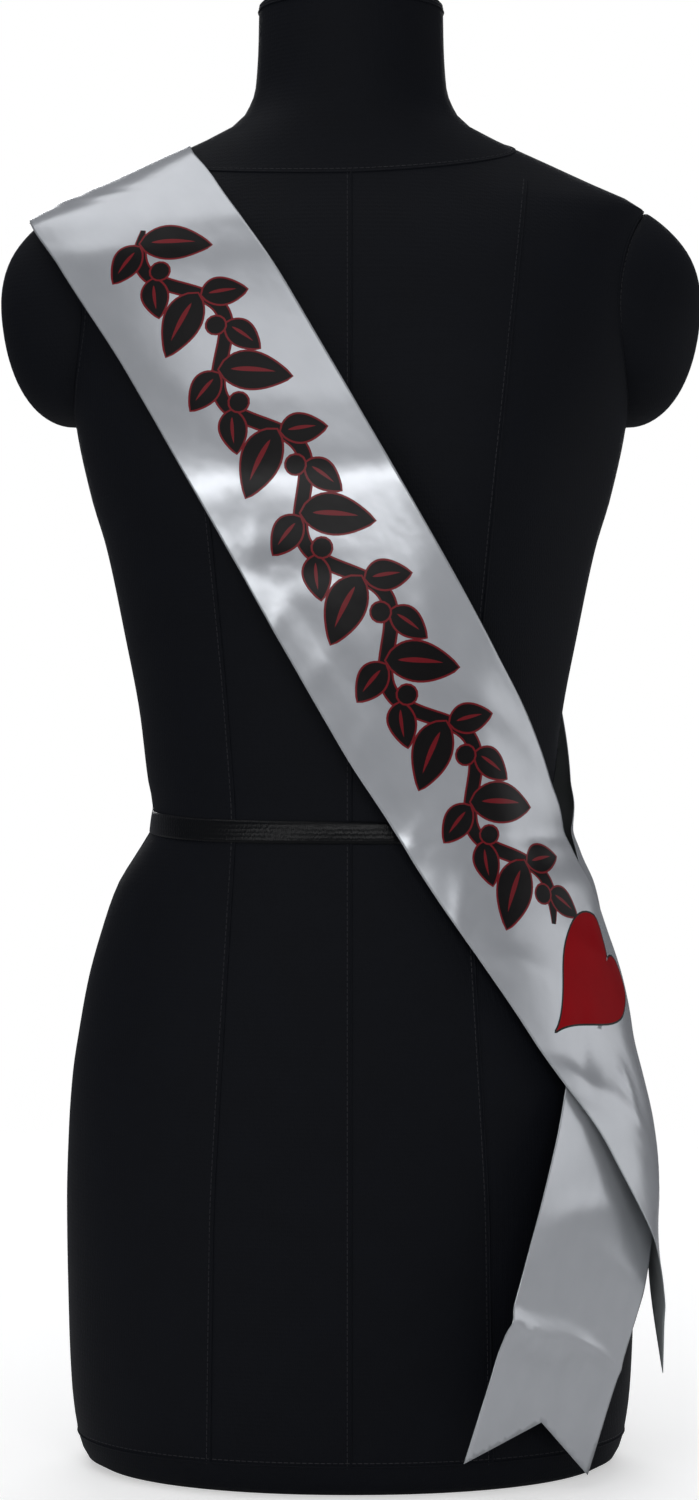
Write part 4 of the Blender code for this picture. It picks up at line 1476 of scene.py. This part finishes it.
class SASH_OT_waist_tape(bpy.types.Operator):
    """Narrow tape round the waist, lapped at the back"""

    bl_idname = "sash.waist_tape"
    bl_label = "Lay the Waist Tape"

    def execute(self, context):
        settings = context.scene.sash_form
        # Woven polyester twill tape: as black as the jersey but smoother, with a dull shine where it rolls
        finish = kept_material("black twill tape", jersey_material, settings.tape, settings, 0.30, 0.13)
        angle = math.radians(TAPE_START) + np.linspace(0.0, 2 * np.pi + math.radians(TAPE_LAP), TAPE_STEPS)
        turn = np.degrees(angle)
        over = ease(np.arange(TAPE_STEPS) / (TAPE_STEPS - 1), TAPE_LAP_BEGINS, TAPE_LAP_FULL)
        roll = sum(row.tip * np.exp(-((turn - row.angle) / row.spread) ** 2) for row in TAPE_ROLLS)
        width = settings.tape_width
        middle = tape_height(angle)
        shares = np.linspace(-0.5, 0.5, TAPE_COLUMNS)
        columns = []
        for share in shares:
            height = middle + share * width
            crown = TAPE_CROWN * (1 - (2 * share) ** 2)
            proud = TAPE_PROUD + crown + TAPE_LAP_RISE * over - 2 * share * roll
            columns.append(form_points(angle, height) + form_normals(angle, height) * proud[:, None])
        grid = np.stack(columns, axis=1)
        grid[..., 2] = middle[:, None] + shares * width
        faces = []
        for i in range(TAPE_STEPS - 1):
            for j in range(TAPE_COLUMNS - 1):
                near = i * TAPE_COLUMNS + j
                far = near + TAPE_COLUMNS
                faces.append((near, far, far + 1, near + 1))
        tape = add_object("waist_tape", mesh_of("waist_tape", grid.reshape(-1, 3), faces, [finish]))
        modified(tape, "SOLIDIFY", thickness=TAPE_THICKNESS, offset=-1.0, use_rim=True)
        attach(tape, "root")
        return {"FINISHED"}


class SASH_OT_ribbon(bpy.types.Operator):
    """Two lengths of printed satin from the shoulder, crossed on the hip"""

    bl_idname = "sash.ribbon"
    bl_label = "Drape the Sash"

    def execute(self, context):
        settings = context.scene.sash_ribbon
        finishes = ribbon_finishes(settings)
        front = Strip(FRONT_STRIP, settings.width)
        back = Strip(BACK_STRIP, settings.width)
        layers = vine_print(context.scene.sash_print)
        band = ribbon_length("satin_front_strip", front, FRONT_FOLDS, layers, settings, finishes)
        tail = ribbon_length("satin_back_strip", back, BACK_FOLDS, [], settings, finishes)
        # Spun polyester thread: plain white and a little duller than the satin, so each stitch reads as a dot
        cover = context.scene.sash_form
        thread = kept_material("white polyester thread", jersey_material, WHITE_THREAD, cover, 0.45, 0.4)
        stitches = grown(
            "shoulder_stitches",
            [(mitre_line(strip, settings), False) for strip in (front, back)],
            stitch_group(),
            {**SHOULDER_STITCH, "Finish": thread},
        )
        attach(stitches, "root")
        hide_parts("sash_front_band", "sash_back_tail")
        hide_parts("sash_back_band", "sash_front_tail")
        for item, strip in ((band, front), (tail, back)):
            corners = strip.crown(np.array([-0.5, 0.5]) * settings.width)
            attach(item, "root")
        return {"FINISHED"}


def mitre_line(strip, settings, inset=0.0022, count=120):
    """Line on the face of the cloth beside its mitred edge on the shoulder."""
    across = np.linspace(-0.5, 0.5, count) * (strip.width - 4 * settings.selvedge_width)
    along = strip.crown(across) + inset
    points, normals = strip.at(along, across)
    lift = strip.lift(along, across) + CLOTH_FACE
    return points + normals * lift[:, None]


def ribbon_finishes(settings):
    """The ribbon's materials in the order of RIBBON_FINISHES."""
    return [kept_material(finish.name, ribbon_material, finish, settings) for finish in RIBBON_FINISHES]


class SASH_OT_studio(bpy.types.Operator):
    """Pale floor, white surround, soft lights and the camera"""

    bl_idname = "sash.studio"
    bl_label = "Set the Studio"

    def execute(self, context):
        settings = context.scene.sash_studio
        scene = context.scene
        scene.view_settings.view_transform = "Standard"
        camera = bpy.data.objects.new("camera", bpy.data.cameras.new("camera"))
        scene.collection.objects.link(camera)
        camera.location = (settings.camera_side, -settings.camera_distance, settings.camera_height)
        camera.rotation_euler = (math.pi / 2, 0.0, 0.0)
        camera.data.lens = settings.lens
        camera.data.sensor_width = 36.0
        camera.data.clip_start = 0.05
        scene.camera = camera
        floor = add_object("floor", floor_mesh(settings))
        for light in LIGHTS:
            soft_light(light, settings)
        white_room(scene, settings.surround)
        return {"FINISHED"}


def floor_mesh(settings):
    """Wide disc whose rim fades into the white room."""
    # Matt paper: even and pale, and brighter where it is seen than in the light that it throws back
    material, output = new_material("pale matt floor")
    paper = linear(settings.floor)
    start, end = FLOOR_FADE
    place = add_node(material, "ShaderNodeTexCoord").outputs["Object"]
    far = add_node(material, "ShaderNodeVectorMath", {"operation": "LENGTH"}, {0: place}).outputs["Value"]
    seen = add_node(material, "ShaderNodeLightPath").outputs["Is Camera Ray"]
    glow = add_node(material, "ShaderNodeMapRange", {3: 0.0, 4: settings.floor_glow}, {0: seen}).outputs[0]
    fade = add_node(material, "ShaderNodeMapRange", {1: start, 2: end, 3: 0.0, 4: 1.0}, {0: far}).outputs[0]
    paint = add_node(
        material,
        "ShaderNodeBsdfPrincipled",
        {"Base Color": paper, "Roughness": 0.9, "Emission Color": paper},
        {"Emission Strength": glow},
    ).outputs[0]
    clear = add_node(material, "ShaderNodeBsdfTransparent").outputs[0]
    mixed = add_node(material, "ShaderNodeMixShader", links={0: fade, 1: paint, 2: clear}).outputs[0]
    material.node_tree.links.new(mixed, output.inputs["Surface"])
    disc = round_outline(FLOOR_RADIUS, FLOOR_SIDES)
    points = np.column_stack([disc, np.full(FLOOR_SIDES, -FLOOR_DROP)])
    return mesh_of("floor", points, [tuple(range(FLOOR_SIDES))], [material], smooth=False)


def soft_light(light, settings):
    """Rectangular area light turned to the form's middle and tilted in its own plane."""
    data = bpy.data.lights.new(light.name, "AREA")
    data.shape = "RECTANGLE"
    data.size = light.width
    data.size_y = light.height
    data.energy = getattr(settings, light.source) * light.share
    item = bpy.data.objects.new(light.name, data)
    item.location = light.place
    aim = (Vector(LIGHT_TARGET) - Vector(light.place)).to_track_quat("-Z", "Y").to_matrix()
    item.rotation_euler = (aim @ Matrix.Rotation(math.radians(light.tilt), 3, "Z")).to_euler()
    bpy.context.scene.collection.objects.link(item)


def white_room(scene, strength):
    """World that looks white and lights evenly at a lower strength."""
    world = bpy.data.worlds.new("white room")
    scene.world = world
    world.use_nodes = True
    world.node_tree.nodes.clear()
    output = add_node(world, "ShaderNodeOutputWorld")
    seen = add_node(world, "ShaderNodeLightPath").outputs["Is Camera Ray"]
    even = add_node(
        world, "ShaderNodeBackground", {"Color": linear(ROOM_LIGHT), "Strength": strength}
    ).outputs[0]
    white = add_node(world, "ShaderNodeBackground", {"Color": linear("ffffff"), "Strength": 1.0}).outputs[0]
    mixed = add_node(world, "ShaderNodeMixShader", links={0: seen, 1: even, 2: white}).outputs[0]
    world.node_tree.links.new(mixed, output.inputs["Surface"])


class SASH_PT_panel(bpy.types.Panel):
    bl_label = "Ribbon Sash"
    bl_idname = "SASH_PT_panel"
    bl_space_type = "VIEW_3D"
    bl_region_type = "UI"
    bl_category = "Sash"

    def draw(self, context):
        for group in (context.scene.sash_ribbon, context.scene.sash_print, context.scene.sash_form,
                      context.scene.sash_studio):
            box = self.layout.box()
            for name in group.__annotations__:
                box.prop(group, name)
        for operator in OPERATORS:
            self.layout.operator(operator.bl_idname)


OPERATORS = (SASH_OT_studio, SASH_OT_form, SASH_OT_seams, SASH_OT_waist_tape, SASH_OT_ribbon)
GROUPS = {
    "sash_ribbon": RibbonSettings,
    "sash_print": PrintSettings,
    "sash_form": FormSettings,
    "sash_studio": StudioSettings,
}


def register():
    for name, group in GROUPS.items():
        bpy.utils.register_class(group)
        setattr(bpy.types.Scene, name, PointerProperty(type=group))
    for operator in OPERATORS:
        bpy.utils.register_class(operator)
    bpy.utils.register_class(SASH_PT_panel)


def unregister():
    bpy.utils.unregister_class(SASH_PT_panel)
    for operator in reversed(OPERATORS):
        bpy.utils.unregister_class(operator)
    for name, group in reversed(GROUPS.items()):
        delattr(bpy.types.Scene, name)
        bpy.utils.unregister_class(group)


def main():
    register()
    bpy.ops.sash.studio()
    bpy.ops.sash.form()
    bpy.ops.sash.seams()
    bpy.ops.sash.waist_tape()
    bpy.ops.sash.ribbon()


if __name__ == "__main__":
    main()
